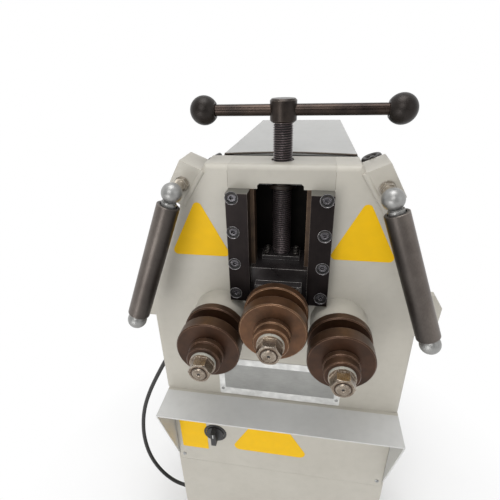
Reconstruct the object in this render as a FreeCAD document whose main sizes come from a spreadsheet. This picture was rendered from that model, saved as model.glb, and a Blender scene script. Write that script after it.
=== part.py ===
"""Three-roll profile and ring roller on a floor column, as a parametric FreeCAD document.

Frame: millimetres, +Z up, +X to the operator's right, the rolls face -Y.
The origin is the centre of the base plate's underside.
Most pieces are drawn in the head's own frame, whose zero is the foot of the head's front face.
"""
import FreeCAD, Part
import math
import os
import re
import Sketcher
from FreeCAD import Placement, Rotation, Vector

doc = FreeCAD.newDocument("RingRoller")
sheet = doc.addObject("Spreadsheet::Sheet", "Sizes")

SIZES = (
    # column and base
    ("deck_height", 720, "floor to the deck that carries the head"),
    ("front_setback", 146, "base centre to the head's front face"),
    ("base_width", 560, "base plate, left to right"),
    ("base_depth", 420, "base plate, front to back"),
    ("base_thickness", 12, "base plate"),
    ("anchor_spacing_width", 500, "anchor holes, left to right"),
    ("anchor_spacing_depth", 360, "anchor holes, front to back"),
    ("anchor_hole", 14, "anchor hole diameter"),
    ("panel_setback", 8, "column front ahead of the head's front face"),
    ("column_back", 300, "head front to the column's back"),
    ("sheet_wall", 3, "column sheet"),
    ("hood_reach", 85, "hood ahead of the head's front face"),
    ("cheek_drop", 240, "depth of the hood's cheeks"),
    ("panel_drop", 258, "height of the control panel's opening"),
    ("panel_gap", 0.5, "gap round the control panel"),
    ("door_width", 430, "rear access panel"),
    ("door_height", 550, "rear access panel"),
    ("door_top", 105, "deck to the top of the rear access panel"),
    ("door_lap", 15, "rear panel's lap on the column"),
    ("louvre_length", 120, "one louvre"),
    ("louvre_slot", 8, "one louvre's height"),
    ("louvre_pitch", 24, "louvre to louvre"),
    ("knob_inset", 108, "selector in from the column's left side"),
    ("knob_down", 137, "selector below the deck"),
    ("knob_diameter", 44, "selector knob"),
    ("knob_flange", 4, "selector knob's flange"),
    ("knob_grip", 18, "height of the knob's grip"),
    ("knob_grip_width", 12, "width of the knob's grip"),
    ("switch_bore", 22.1, "panel hole for the selector"),
    ("switch_neck", 22, "selector's neck"),
    ("switch_size", 52, "switch block, across"),
    ("switch_depth", 46, "switch block, deep"),
    # head
    ("head_width", 532, "head at its foot"),
    ("head_top_width", 265, "head at its top"),
    ("head_corner", 250, "height of the widest corner"),
    ("shoulder_out", 45.5, "shoulder of the sloping side, beyond the head's top corner"),
    ("shoulder_drop", 71, "shoulder below the head's top"),
    ("head_height", 548, "head, deck to top"),
    ("head_depth", 68, "head, front to back"),
    ("front_wall", 25, "head's front wall"),
    ("head_wall", 20, "head's other walls"),
    ("edge_round", 10, "radius of the head's front edge"),
    ("back_plate", 20, "plate behind the head"),
    ("back_inset", 14, "back plate inside the head's outline"),
    ("slot_foot", 188, "foot of the carriage slot"),
    ("bridge_width", 184, "bridge block over the slot"),
    ("bridge_height", 42, "bridge block, under the head's top"),
    ("fit_gap", 0.1, "gap between fixed pieces that seat in each other"),
    ("window_width", 80, "relief in the bridge block"),
    ("window_rise", 10, "relief in the bridge block"),
    ("window_corner", 4, "slant of the relief's upper corners"),
    # guide rails
    ("rail_inner", 53, "centre plane to the rail's inner face"),
    ("rail_width", 38.5, "guide rail"),
    ("rail_foot", 291, "foot of the rails"),
    ("rail_stand", 29, "rail ahead of the head's face"),
    ("rail_seat", 10, "rail let into the head's face"),
    ("liner_thickness", 7, "slot liner"),
    ("rail_screw_across", 79, "centre plane to the rail screws"),
    ("rail_screw_inset", 17, "foot of the rail to its lowest screw"),
    ("rail_screw_end", 10.5, "top of the rail to its highest screw"),
    ("cap_head", 16, "rail screw head diameter"),
    ("cap_head_height", 10, "rail screw head height"),
    ("cap_shank", 10, "rail screw shank"),
    ("cap_socket", 8, "rail screw hexagon socket"),
    ("counterbore", 18, "rail screw counterbore"),
    ("counterbore_depth", 12, "rail screw counterbore depth"),
    ("screw_thread_length", 38, "rail screw below its head"),
    # arm blocks, lugs and lifting eyes
    ("block_rise", 42, "pivot up to an arm block's outer top corner"),
    ("block_reach", 1, "pivot out to an arm block's outer top corner"),
    ("block_top", 26, "pivot up to an arm block's inner top corner"),
    ("block_side", 32, "pivot out to an arm block's outer side"),
    ("block_side_drop", 13, "pivot down to an arm block's outer side"),
    ("block_heel", 28, "pivot out to an arm block's outer lower corner"),
    ("block_heel_drop", 24, "pivot down to an arm block's outer lower corner"),
    ("block_foot", 42, "pivot down to an arm block's inner lower corner"),
    ("lug_foot_drop", 57, "foot of a side lug below the head's widest corner"),
    ("lug_toe", 46, "lower outer corner of a side lug beyond the head"),
    ("lug_reach", 49, "outer corner of a side lug beyond the head"),
    ("lug_reach_rise", 15, "outer corner of a side lug above the head's widest corner"),
    ("lug_tip", 32, "upper corner of a side lug beyond the head"),
    ("lug_rise", 42, "top of a side lug above the head's widest corner"),
    ("lug_front", 30, "head front to the side lug"),
    ("lug_thickness", 16, "side lug"),
    ("eye_inset", 18, "right lifting eye in from the pivot"),
    ("eye_left_inset", 37, "left lifting eye in from the pivot"),
    ("eye_rise", 30, "right lifting eye above the pivot"),
    ("eye_left_rise", 24, "left lifting eye above the pivot"),
    ("eye_ring", 27, "lifting eye ring, mean diameter"),
    ("eye_section", 9.5, "lifting eye section"),
    ("eye_collar", 14, "lifting eye collar"),
    ("eye_collar_height", 7, "lifting eye collar"),
    ("eye_turn", 21, "right eye's turn, degrees"),
    ("eye_left_turn", 31, "left eye's turn, degrees"),
    # shafts and rolls
    ("roll_spacing", 236.4, "lower shaft to lower shaft"),
    ("lower_shaft_height", 237, "lower shafts above the deck"),
    ("upper_shaft_height", 291, "upper shaft above the deck"),
    ("disc_diameter", 118, "roll disc"),
    ("front_disc", 27, "front disc width"),
    ("groove_width", 23, "gap between the discs"),
    ("rear_disc", 18, "rear disc width"),
    ("groove_core", 66, "spacer between the discs"),
    ("disc_edge", 2, "disc edge chamfer"),
    ("roll_reach", 118, "head face to the front disc's face"),
    ("collar_inner", 64, "collar next to the disc"),
    ("collar_inner_width", 12, "collar next to the disc"),
    ("collar_outer", 61, "collar next to the washer"),
    ("collar_outer_width", 16.6, "collar next to the washer"),
    ("collar_edge", 1.5, "collar chamfer"),
    ("washer_diameter", 46, "washer"),
    ("washer_width", 6, "washer"),
    ("nut_flats", 36, "nut across flats"),
    ("nut_height", 20.4, "nut"),
    ("thread_diameter", 24, "shaft thread"),
    ("shaft_diameter", 30, "roll shaft"),
    ("shaft_proud", 3, "shaft end ahead of the nut"),
    ("centre_hole", 7, "centre hole in the shaft's end"),
    ("shoulder_diameter", 44, "shaft shoulder behind the rolls"),
    ("journal_diameter", 35, "lower shaft in its bearings"),
    ("running_gap", 0.05, "radial clearance of a running fit"),
    # bearings
    ("housing_diameter", 111, "front bearing housing"),
    ("housing_reach", 48, "front bearing housing ahead of the head"),
    ("spigot_diameter", 90, "housing's spigot in the front wall"),
    ("housing_lip", 22, "front lip of the housing"),
    ("bearing_outer", 72, "lower bearing"),
    ("bearing_width", 17, "lower bearing"),
    ("upper_bearing_outer", 62, "carriage bearing"),
    ("upper_bearing_width", 16, "carriage bearing"),
    # drive
    ("gear_module", 4, "gear module"),
    ("gear_teeth", 42, "teeth of a shaft gear"),
    ("pinion_teeth", 20, "teeth of the drive pinion"),
    ("gear_front", 94, "head front to the gears"),
    ("gear_width", 30, "gear face width"),
    ("gear_web", 12, "gear web between rim and hub"),
    ("gear_backlash", 0.4, "total tooth thinning"),
    ("pinion_shaft", 25, "drive pinion shaft"),
    ("gearbox_front", 140, "head front to the gearbox"),
    ("gearbox_depth", 112, "gearbox"),
    ("gearbox_left_width", 62, "gearbox left of the pinion"),
    ("gearbox_right_width", 130, "gearbox right of the pinion"),
    ("gearbox_foot_height", 130, "gearbox underside"),
    ("gearbox_height", 270, "gearbox top"),
    ("gearbox_pad", 12, "gearbox foot plate"),
    ("gearbox_leg", 30, "gearbox foot, half width less than the case"),
    ("motor_across", 62, "motor axis right of the pinion"),
    ("motor_diameter", 136, "motor frame"),
    ("motor_length", 190, "motor frame"),
    ("motor_cowl", 40, "motor fan cowl"),
    ("motor_flange", 12, "motor flange thickness"),
    ("motor_step", 8, "motor flange beyond the frame"),
    ("cowl_edge", 10, "fan cowl chamfer"),
    ("terminal_box", 80, "motor terminal box"),
    ("terminal_depth", 30, "motor terminal box beyond the frame"),
    # rear guard
    ("guard_front", 90, "head front to the guard"),
    ("guard_depth", 210, "guard, front to back"),
    ("guard_sheet", 2.5, "guard sheet"),
    ("guard_inset", 16, "guard's front foot in from the head's side"),
    ("guard_back_inset", 76, "guard's back foot in from the head's side"),
    ("guard_left_inset", 16.5, "guard top, left edge, in from the head's top corner, front"),
    ("guard_right_inset", 0.5, "guard top, right edge, in from the head's top corner, front"),
    ("guard_back_left_inset", 63.5, "guard top, left edge, in from the head's top corner, back"),
    ("guard_back_right_inset", 23.5, "guard top, right edge, in from the head's top corner, back"),
    ("guard_top_drop", 1, "guard top below the head's top, front"),
    ("guard_back_rise", 32, "guard top above the head's top, back"),
    ("guard_lean", 0.4033, "guard's side, out for each millimetre down"),
    # carriage and pressure screw
    ("slide_gap", 0.1, "running gap of the carriage"),
    ("carriage_front", 15, "carriage ahead of the head's face"),
    ("carriage_rise", 67, "upper shaft to the carriage's top, and to its foot"),
    ("carriage_flange", 70, "carriage rear flange, half width"),
    ("carriage_back", 66, "head front to the carriage's back"),
    ("nose_half", 43, "carriage nose, half width"),
    ("nose_rise", 40, "upper shaft to the nose's top"),
    ("nose_drop", 39, "upper shaft to the nose's foot"),
    ("nose_reach", 32, "carriage nose ahead of the head's face"),
    ("carriage_bore", 42, "bore between the carriage bearings"),
    ("screw_back", 42, "head front to the screw axis"),
    ("screw_diameter", 36, "pressure screw"),
    ("screw_end_drop", 12, "tommy bar axis to the pressure screw's end"),
    ("screw_neck", 28, "pressure screw neck"),
    ("screw_button", 38, "pressure screw thrust button"),
    ("button_height", 8, "pressure screw thrust button"),
    ("plate_width", 72, "retaining plate"),
    ("plate_depth", 40, "retaining plate"),
    ("plate_thickness", 8, "retaining plate"),
    ("plate_screw_across", 27, "retaining plate screws"),
    ("plate_screw_deep", 13, "retaining plate screws"),
    ("plate_screw_head", 10, "retaining plate screw head"),
    ("plate_screw_height", 6, "retaining plate screw head"),
    ("plate_screw_shank", 6, "retaining plate screw shank"),
    ("nut_body", 46, "bronze nut"),
    ("nut_body_height", 34, "bronze nut"),
    ("nut_flange", 51, "bronze nut flange"),
    ("nut_flange_height", 6, "bronze nut flange"),
    ("screw_clear", 40, "hole for the screw in the bridge"),
    ("hub_diameter", 45, "hub on the screw"),
    ("hub_drop", 19, "tommy bar axis to the hub's underside"),
    ("hub_height", 37, "hub"),
    ("hub_edge", 3, "hub chamfer"),
    ("bar_rise", 82, "tommy bar axis above the head's top"),
    ("bar_diameter", 19, "tommy bar"),
    ("bar_left_length", 136, "screw axis to the left ball's centre"),
    ("bar_right_length", 190, "screw axis to the right ball's centre"),
    ("ball_diameter", 50, "ball knob"),
    ("ball_flat", 21, "ball centre to its flat"),
    # guide rollers
    ("arm_out", 42.5, "guide roller pivot beyond the head's top corner"),
    ("arm_front", 53, "guide roller pivot ahead of the head"),
    ("arm_drop", 36, "guide roller pivot below the head's top"),
    ("arm_length", 260.5, "ball to ball"),
    ("arm_tilt", 21.1, "guide roller's lean from the vertical, degrees"),
    ("arm_heading", 18.9, "lean's turn towards the front, degrees"),
    ("guide_ball", 35.4, "guide roller ball"),
    ("guide_axle", 20, "guide roller axle"),
    ("guide_tube", 40, "guide roller tube"),
    ("tube_start", 22, "pivot to the tube's upper end"),
    ("tube_end", 13.5, "lower ball centre to the tube's lower end"),
    ("tube_recess", 30, "tube end recess"),
    ("tube_recess_depth", 8, "tube end recess"),
    ("axle_collar", 26, "collar under the ball"),
    ("stud_diameter", 16, "guide roller stud"),
    ("stud_hole", 27, "recess round the stud nut"),
    ("stud_hole_depth", 3, "recess round the stud nut"),
    ("stud_nut_flats", 22, "stud nut across flats"),
    ("stud_nut_height", 14, "stud nut"),
    ("stud_depth", 45, "stud in its block"),
    ("stud_in_ball", 12, "stud in the ball"),
    # motor cable
    ("cable_diameter", 12, "motor cable"),
    ("gland_thread", 20, "gland in the wall"),
    ("gland_body", 24, "gland outside the wall"),
    ("gland_length", 16, "gland outside the wall"),
    ("gland_inside", 10, "gland inside the wall"),
    ("gland_lip", 2.5, "gland's wall at its outer end"),
    ("gland_upper_height", 17, "upper gland"),
    ("gland_lower_depth", 640, "lower gland below the deck"),
    ("cable_plane", 130, "head front to the cable"),
)
# Places that follow from the sizes above, so that what stands on a piece moves with it.
FOLLOWING = (
    ("bridge_foot", "head_height - bridge_height", "underside of the bridge block"),
    ("rail_length", "bridge_foot - rail_foot", "guide rail"),
    ("rail_screw_first", "rail_foot + rail_screw_inset", "height of the lowest rail screw"),
    ("rail_screw_pitch", "(rail_length - rail_screw_inset - rail_screw_end) / 3", "rail screw to rail screw"),
    ("arm_across", "head_top_width / 2 + arm_out", "guide roller pivot"),
    ("arm_height", "head_height - arm_drop", "guide roller pivot"),
    ("tube_length", "arm_length - tube_start - tube_end", "guide roller tube"),
    ("knob_across", "head_width / 2 - knob_inset", "selector left of the centre plane"),
    ("carriage_top", "upper_shaft_height + carriage_rise", "carriage top"),
    ("carriage_foot", "upper_shaft_height - carriage_rise", "carriage foot"),
    ("nose_top", "upper_shaft_height + nose_rise", "carriage nose, top"),
    ("nose_foot", "upper_shaft_height - nose_drop", "carriage nose, foot"),
    ("bar_height", "head_height + bar_rise", "tommy bar axis"),
    ("hub_foot", "bar_height - hub_drop", "hub's underside"),
    ("screw_top", "bar_height - screw_end_drop", "top of the pressure screw"),
    ("pinion_drop", "sqrt((gear_module * (gear_teeth + pinion_teeth) / 2)^2 - (roll_spacing / 2)^2)",
     "lower shafts down to the drive pinion, in mesh with both gears"),
    ("pinion_height", "lower_shaft_height - pinion_drop", "drive pinion"),
    ("guard_half", "head_width / 2 - guard_inset", "guard half width at its foot"),
    ("guard_back_half", "head_width / 2 - guard_back_inset", "guard half width at its back"),
    ("gland_upper_wall",
     "guard_half - (guard_half - guard_back_half) * (cable_plane - gland_body / 2 - guard_front) / guard_depth",
     "centre plane to the upper gland's seat"),
)

for row, (alias, value, note) in enumerate(SIZES + FOLLOWING, start=1):
    sheet.set("A%d" % row, note)
    sheet.set("B%d" % row, "=" + value if isinstance(value, str) else str(value))
    sheet.setAlias("B%d" % row, alias)
doc.recompute()

NAMES = {alias for alias, value, note in SIZES + FOLLOWING}
WORD = re.compile(r"[a-z][a-z0-9_]*")
SIDES = (("left", -1), ("right", 1))

# The head's sloping side has a shoulder. Each lean is how far the side goes out for a millimetre down.
SHOULDER_ACROSS = "(head_top_width / 2 + shoulder_out)"
SHOULDER_HEIGHT = "(head_height - shoulder_drop)"
UPPER_LEAN = "(shoulder_out / shoulder_drop)"
LOWER_LEAN = "((head_width / 2 - %s) / (%s - head_corner))" % (SHOULDER_ACROSS, SHOULDER_HEIGHT)
BASE_TOP = "(base_thickness - deck_height)"
nodes = []


def size(alias):
    """The number in the sheet's cell of that name."""
    return float(sheet.get(alias))


def formula(text):
    """The text with the sheet's name put before each size that it names."""
    return WORD.sub(lambda word: "Sizes." + word.group() if word.group() in NAMES else word.group(), str(text))


def bind(target, prop, text):
    """Ties one property to a formula of sizes."""
    target.setExpression(prop, formula(text))


def place(target, across="0", back="0", up="0"):
    """Places a piece in the head's frame."""
    bind(target, "Placement.Base.x", across)
    bind(target, "Placement.Base.y", "%s - front_setback" % back)
    bind(target, "Placement.Base.z", "%s + deck_height" % up)


def piece(name, across="0", back="0", up="0"):
    """A body that becomes the node of that name."""
    body = doc.addObject("PartDesign::Body", name)
    body.Label = name
    body.AllowCompound = True
    place(body, across, back, up)
    nodes.append(body)
    return body


def draw(body, plane, level, polygons=(), circles=()):
    """A sketch on a plane of the body, level above it, with each corner and circle tied to sizes."""
    sketch = body.newObject("Sketcher::SketchObject", body.Name + "_sketch")
    base = [face for face in body.Origin.OriginFeatures if face.Role == plane][0]
    sketch.AttachmentSupport = [(base, "")]
    sketch.MapMode = "FlatFace"
    bind(sketch, "AttachmentOffset.Base.z", level)
    for polygon in polygons:
        add_polygon(sketch, polygon)
    for across, up, diameter in circles:
        add_circle(sketch, across, up, diameter)
    return sketch


def tie_point(sketch, curve, point, across, up):
    """Ties one point of a curve to its two distances from the sketch's origin."""
    for kind, text, axis in (("DistanceX", across, -2), ("DistanceY", up, -1)):
        if str(text) == "0":
            sketch.addConstraint(Sketcher.Constraint("PointOnObject", curve, point, axis))
            continue
        spot = sketch.getPoint(curve, point)
        start = spot.x if kind == "DistanceX" else spot.y
        index = sketch.addConstraint(Sketcher.Constraint(kind, -1, 1, curve, point, start))
        bind(sketch, "Constraints[%d]" % index, text)


def add_polygon(sketch, corners):
    """A closed outline, started as a regular one and pulled to its corners by their constraints."""
    count = len(corners)
    first = sketch.GeometryCount
    reach = size("head_depth")
    ring = [Vector(reach * math.cos(2 * math.pi * i / count) + 3, reach * math.sin(2 * math.pi * i / count) + 2, 0)
            for i in range(count)]
    for i in range(count):
        sketch.addGeometry(Part.LineSegment(ring[i], ring[(i + 1) % count]), False)
    for i in range(count):
        following = first + (i + 1) % count
        sketch.addConstraint(Sketcher.Constraint("Coincident", first + i, 2, following, 1))
    for i, (across, up) in enumerate(corners):
        tie_point(sketch, first + i, 1, across, up)


def add_circle(sketch, across, up, diameter):
    """A circle tied to its centre and diameter."""
    curve = sketch.addGeometry(Part.Circle(Vector(3, 2, 0), Vector(0, 0, 1), 5), False)
    tie_point(sketch, curve, 3, across, up)
    index = sketch.addConstraint(Sketcher.Constraint("Diameter", curve, 10.0))
    bind(sketch, "Constraints[%d]" % index, diameter)


def pad(body, sketch, length):
    """Adds the sketch's area along its normal."""
    feature = body.newObject("PartDesign::Pad", body.Name + "_pad")
    feature.Profile = sketch
    bind(feature, "Length", length)
    return feature


def pocket(body, sketch, length, along_normal=False):
    """Cuts the sketch's area away, against its normal unless told otherwise."""
    feature = body.newObject("PartDesign::Pocket", body.Name + "_pocket")
    feature.Profile = sketch
    feature.Reversed = along_normal
    bind(feature, "Length", length)
    return feature


def slab(body, front, back, polygons=(), circles=()):
    """Adds an outline seen from the front, between two distances behind the head's face."""
    sketch = draw(body, "XZ_Plane", "-(%s)" % back, polygons, circles)
    return pad(body, sketch, "(%s) - (%s)" % (back, front))


def front_cut(body, front, back, polygons=(), circles=()):
    """Cuts an outline seen from the front, between two distances behind the head's face."""
    sketch = draw(body, "XZ_Plane", "-(%s)" % front, polygons, circles)
    return pocket(body, sketch, "(%s) - (%s)" % (back, front))


def post(body, foot, top, polygons=(), circles=()):
    """Adds an outline seen from above, between two heights."""
    sketch = draw(body, "XY_Plane", foot, polygons, circles)
    return pad(body, sketch, "(%s) - (%s)" % (top, foot))


def down_cut(body, foot, top, polygons=(), circles=()):
    """Cuts an outline seen from above, between two heights."""
    sketch = draw(body, "XY_Plane", top, polygons, circles)
    return pocket(body, sketch, "(%s) - (%s)" % (top, foot))


def turn(body, plane, profiles, groove=False):
    """Adds or cuts profiles of radius against length, turned about the sketch's upright axis."""
    sketch = draw(body, plane, "0", profiles)
    kind = "PartDesign::Groove" if groove else "PartDesign::Revolution"
    feature = body.newObject(kind, body.Name + "_turn")
    feature.Profile = sketch
    feature.ReferenceAxis = (sketch, ["V_Axis"])
    feature.Angle = 360
    return feature


def box(low_x, low_y, high_x, high_y):
    """The corners of a rectangle."""
    return ((low_x, low_y), (high_x, low_y), (high_x, high_y), (low_x, high_y))


def ring(inner, outer, start, end, edge=None):
    """The half section of a ring about the upright axis, with its outer edges chamfered."""
    if edge is None:
        return box(inner, start, outer, end)
    slim = "(%s) - (%s)" % (outer, edge)
    return ((inner, start), (slim, start), (outer, "(%s) + (%s)" % (start, edge)),
            (outer, "(%s) - (%s)" % (end, edge)), (slim, end), (inner, end))


def hexagon(across, up, flats):
    """A hexagon with two corners level with its centre."""
    corners = []
    for i in range(6):
        turn_by = math.radians(60 * i)
        reach = "(%s) / %.9f" % (flats, math.sqrt(3))
        corners.append(("(%s) + %s * %.9f" % (across, reach, math.cos(turn_by)),
                        "(%s) + %s * %.9f" % (up, reach, math.sin(turn_by))))
    return tuple(corners)


def mirror_polygon(side, corners):
    """The outline as drawn for the right, or its mirror image for the left."""
    return tuple(("%d * (%s)" % (side, across), up) for across, up in corners)


def upper_slope_at(height):
    """How far out the head's side is at a height above its shoulder."""
    return "(head_top_width / 2 + (head_height - (%s)) * %s)" % (height, UPPER_LEAN)


def lower_slope_at(height):
    """How far out the head's side is at a height between its widest corner and its shoulder."""
    return "(%s + (%s - (%s)) * %s)" % (SHOULDER_ACROSS, SHOULDER_HEIGHT, height, LOWER_LEAN)


def head_outline(inset):
    """The head's outline, every side of it moved in by an inset."""
    upper_step = "sqrt(1 + %s^2)" % UPPER_LEAN
    lower_step = "sqrt(1 + %s^2)" % LOWER_LEAN
    half = "(head_width / 2 - %s)" % inset
    corner = "(head_corner - %s * (%s - 1) / %s)" % (inset, lower_step, LOWER_LEAN)
    drop = "%s * (%s - %s) / (%s - %s)" % (inset, upper_step, lower_step, UPPER_LEAN, LOWER_LEAN)
    shoulder = "(%s - %s)" % (SHOULDER_HEIGHT, drop)
    shoulder_half = "(%s + %s * %s - %s * %s)" % (SHOULDER_ACROSS, drop, LOWER_LEAN, inset, lower_step)
    top = "(head_height - %s)" % inset
    top_half = "(head_top_width / 2 - %s * (%s - %s))" % (inset, upper_step, UPPER_LEAN)
    right = ((half, inset), (half, corner), (shoulder_half, shoulder), (top_half, top))
    return right + tuple(("-" + across, up) for across, up in reversed(right))


# ---------------------------------------------------------------- column

def make_base_plate():
    body = piece("base_plate", back="front_setback", up="-deck_height")
    holes = [("%d * anchor_spacing_width / 2" % i, "%d * anchor_spacing_depth / 2" % j, "anchor_hole")
             for i in (-1, 1) for j in (-1, 1)]
    post(body, "0", "base_thickness",
         [box("-base_width / 2", "-base_depth / 2", "base_width / 2", "base_depth / 2")], holes)


def make_column_shell():
    body = piece("column_shell")
    half = "head_width / 2"
    post(body, BASE_TOP, "0", [box("-" + half, "-panel_setback", half, "column_back")])
    inner = "(%s - sheet_wall)" % half
    hollow = draw(body, "XY_Plane", BASE_TOP,
                  [box("-" + inner, "sheet_wall - panel_setback", inner, "column_back - sheet_wall")])
    pocket(body, hollow, "-%s - sheet_wall" % BASE_TOP, along_normal=True)
    front_cut(body, "-panel_setback - 1", "sheet_wall - panel_setback",
              [box("-" + inner, "-panel_drop", inner, "-sheet_wall")])
    front_cut(body, "column_back - sheet_wall - 1", "column_back + 1",
              [box("door_lap - door_width / 2", "door_lap - door_top - door_height",
                   "door_width / 2 - door_lap", "-door_top - door_lap")])
    side_hole = draw(body, "YZ_Plane", "-%s - 1" % half, [],
                     [("cable_plane", "-gland_lower_depth", "gland_thread + 2 * fit_gap")])
    pocket(body, side_hole, "sheet_wall + 2", along_normal=True)
    wire_way = "gearbox_depth / 2"
    down_cut(body, "-sheet_wall - 1", "1", [],
             [("-guard_back_half + %s" % wire_way, "gearbox_front + %s" % wire_way, "gland_thread * 2")])


def make_control_panel():
    body = piece("control_panel")
    half = "(head_width / 2 - sheet_wall - panel_gap)"
    slab(body, "-panel_setback", "sheet_wall - panel_setback",
         [box("-" + half, "panel_gap - panel_drop", half, "-sheet_wall - panel_gap")],
         [("-knob_across", "-knob_down", "switch_bore")])


def make_rear_access_panel():
    body = piece("rear_access_panel")
    slab(body, "column_back", "column_back + guard_sheet",
         [box("-door_width / 2", "-door_top - door_height", "door_width / 2", "-door_top")])
    slots = []
    for side in (-1, 1):
        for i in range(6):
            low = "-door_top - door_height / 4 - louvre_pitch * %d" % i
            across = ("%d * louvre_length * 0.62" % side)
            slots.append(box("%s - louvre_length / 2" % across, low,
                             "%s + louvre_length / 2" % across, "%s + louvre_slot" % low))
    front_cut(body, "column_back - 1", "column_back + guard_sheet + 1", slots)


def make_hood_shelf():
    body = piece("hood_shelf")
    half = "head_width / 2"
    post(body, "-sheet_wall", "0", [box("-" + half, "-hood_reach", half, "-panel_setback")])
    cheek = (("-hood_reach", "-sheet_wall"), ("-panel_setback", "-sheet_wall"), ("-panel_setback", "-cheek_drop"))
    for start in ("-" + half, half + " - sheet_wall"):
        pad(body, draw(body, "YZ_Plane", start, [cheek]), "sheet_wall")


def make_switch():
    block = piece("switch_block")
    half = "switch_size / 2"
    slab(block, "sheet_wall - panel_setback", "sheet_wall - panel_setback + switch_depth",
         [box("-knob_across - " + half, "-knob_down - " + half, "-knob_across + " + half, "-knob_down + " + half)],
         [("-knob_across", "-knob_down", "switch_bore")])
    knob = piece("selector_knob", "-knob_across", "-panel_setback", "-knob_down")
    slab(knob, "-knob_flange", "-panel_gap / 2", [], [("0", "0", "knob_diameter")])
    slab(knob, "-panel_gap / 2", "sheet_wall + switch_depth / 2", [], [("0", "0", "switch_neck")])
    grip = "knob_grip_width / 2"
    slab(knob, "-knob_flange - knob_grip", "-knob_flange",
         [box("-" + grip, "-knob_diameter * 0.47", grip, "knob_diameter * 0.47")])


# ---------------------------------------------------------------- head

def round_front(body, block, level):
    """Rounds those edges of the block's front face whose middle is above a level."""
    doc.recompute()
    chosen = []
    for i, edge in enumerate(body.Shape.Edges, start=1):
        depths = [vertex.Point.y + size("front_setback") for vertex in edge.Vertexes]
        heights = [vertex.Point.z - size("deck_height") for vertex in edge.Vertexes]
        if max(abs(depth) for depth in depths) < 0.01 and sum(heights) / len(heights) > level:
            chosen.append("Edge%d" % i)
    fillet = body.newObject("PartDesign::Fillet", body.Name + "_edge")
    fillet.Base = (block, chosen)
    bind(fillet, "Radius", "edge_round")


def make_head_frame():
    body = piece("head_frame")
    block = slab(body, "0", "head_depth", [head_outline("0")])
    round_front(body, block, 1)
    inner = draw(body, "XZ_Plane", "-head_depth", [head_outline("head_wall")])
    pocket(body, inner, "head_depth - front_wall", along_normal=True)
    front_cut(body, "-1", "head_depth + 1",
              [box("-bridge_width / 2", "bridge_foot", "bridge_width / 2", "head_height + 1")])
    seat = "(rail_inner + rail_width + fit_gap)"
    front_cut(body, "-1", "rail_seat + fit_gap",
              [box("-" + seat, "rail_foot - fit_gap", seat, "bridge_foot + 1")])
    front_cut(body, "-1", "front_wall + 1", [box("-rail_inner", "slot_foot", "rail_inner", "bridge_foot + 1")])
    front_cut(body, "-1", "front_wall + 1", [],
              [("%d * roll_spacing / 2" % side, "lower_shaft_height", "spigot_diameter + 2 * fit_gap")
               for name, side in SIDES])
    front_cut(body, "rail_seat - 1", "front_wall + 1", [],
              [("%d * rail_screw_across" % side, "rail_screw_first + %d * rail_screw_pitch" % i, "cap_shank")
               for name, side in SIDES for i in range(4)])


def make_head_back_plate():
    body = piece("head_back_plate")
    shafts = [("%d * roll_spacing / 2" % side, "lower_shaft_height", "bearing_outer") for name, side in SIDES]
    slab(body, "head_depth", "head_depth + back_plate", [head_outline("back_inset")],
         shafts + [("0", "pinion_height", "pinion_shaft + 2 * running_gap")])


def make_bridge_block():
    body = piece("bridge_block")
    half = "(bridge_width / 2 - fit_gap)"
    block = slab(body, "0", "head_depth", [box("-" + half, "bridge_foot + fit_gap", half, "head_height")])
    round_front(body, block, size("head_height") - 1)
    relief = "window_width / 2"
    top = "bridge_foot + window_rise"
    slant = "(window_width / 2 - window_corner)"
    front_cut(body, "-1", "front_wall",
              [(("-" + relief, "bridge_foot - 1"), (relief, "bridge_foot - 1"), (relief, top + " - window_corner"),
                (slant, top), ("-" + slant, top), ("-" + relief, top + " - window_corner"))])
    down_cut(body, "bridge_foot - 1", "bridge_foot + nut_body_height", [], [("0", "screw_back", "nut_body")])
    down_cut(body, "bridge_foot", "head_height + 1", [], [("0", "screw_back", "screw_clear")])


def make_pressure_nut():
    body = piece("pressure_nut", "0", "screw_back", "bridge_foot")
    bore = "screw_diameter / 2 + running_gap"
    turn(body, "XZ_Plane",
         [((bore, "-nut_flange_height"), ("nut_flange / 2", "-nut_flange_height"), ("nut_flange / 2", "0"),
           ("nut_body / 2", "0"), ("nut_body / 2", "nut_body_height"), (bore, "nut_body_height"))])


def make_rails():
    for name, side in SIDES:
        body = piece(name + "_rail")
        outer = "rail_inner + rail_width"
        slab(body, "-rail_stand", "rail_seat",
             [mirror_polygon(side, box("rail_inner", "rail_foot", outer, "rail_foot + rail_length"))])
        screws = [("%d * rail_screw_across" % side, "rail_screw_first + %d * rail_screw_pitch" % i)
                  for i in range(4)]
        front_cut(body, "-rail_stand - 1", "rail_seat + 1", [],
                  [(across, up, "cap_shank + 4 * fit_gap") for across, up in screws])
        front_cut(body, "-rail_stand - 1", "counterbore_depth - rail_stand", [],
                  [(across, up, "counterbore") for across, up in screws])


def make_rail_screws():
    body = piece("rail_screws")
    spots = [("%d * rail_screw_across" % side, "rail_screw_first + %d * rail_screw_pitch" % i)
             for name, side in SIDES for i in range(4)]
    under = "counterbore_depth - rail_stand"
    slab(body, "%s - cap_head_height" % under, under, [], [(x, z, "cap_head") for x, z in spots])
    slab(body, under, "%s + screw_thread_length" % under, [], [(x, z, "cap_shank - 2 * fit_gap") for x, z in spots])
    front_cut(body, "%s - cap_head_height - 1" % under, "%s - cap_head_height / 2" % under,
              [hexagon(x, z, "cap_socket") for x, z in spots])


def make_rail_liners():
    body = piece("rail_liners")
    strips = [mirror_polygon(side, box("rail_inner - liner_thickness", "slot_foot", "rail_inner", "bridge_foot"))
              for name, side in SIDES]
    slab(body, "0", "front_wall", strips)


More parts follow.
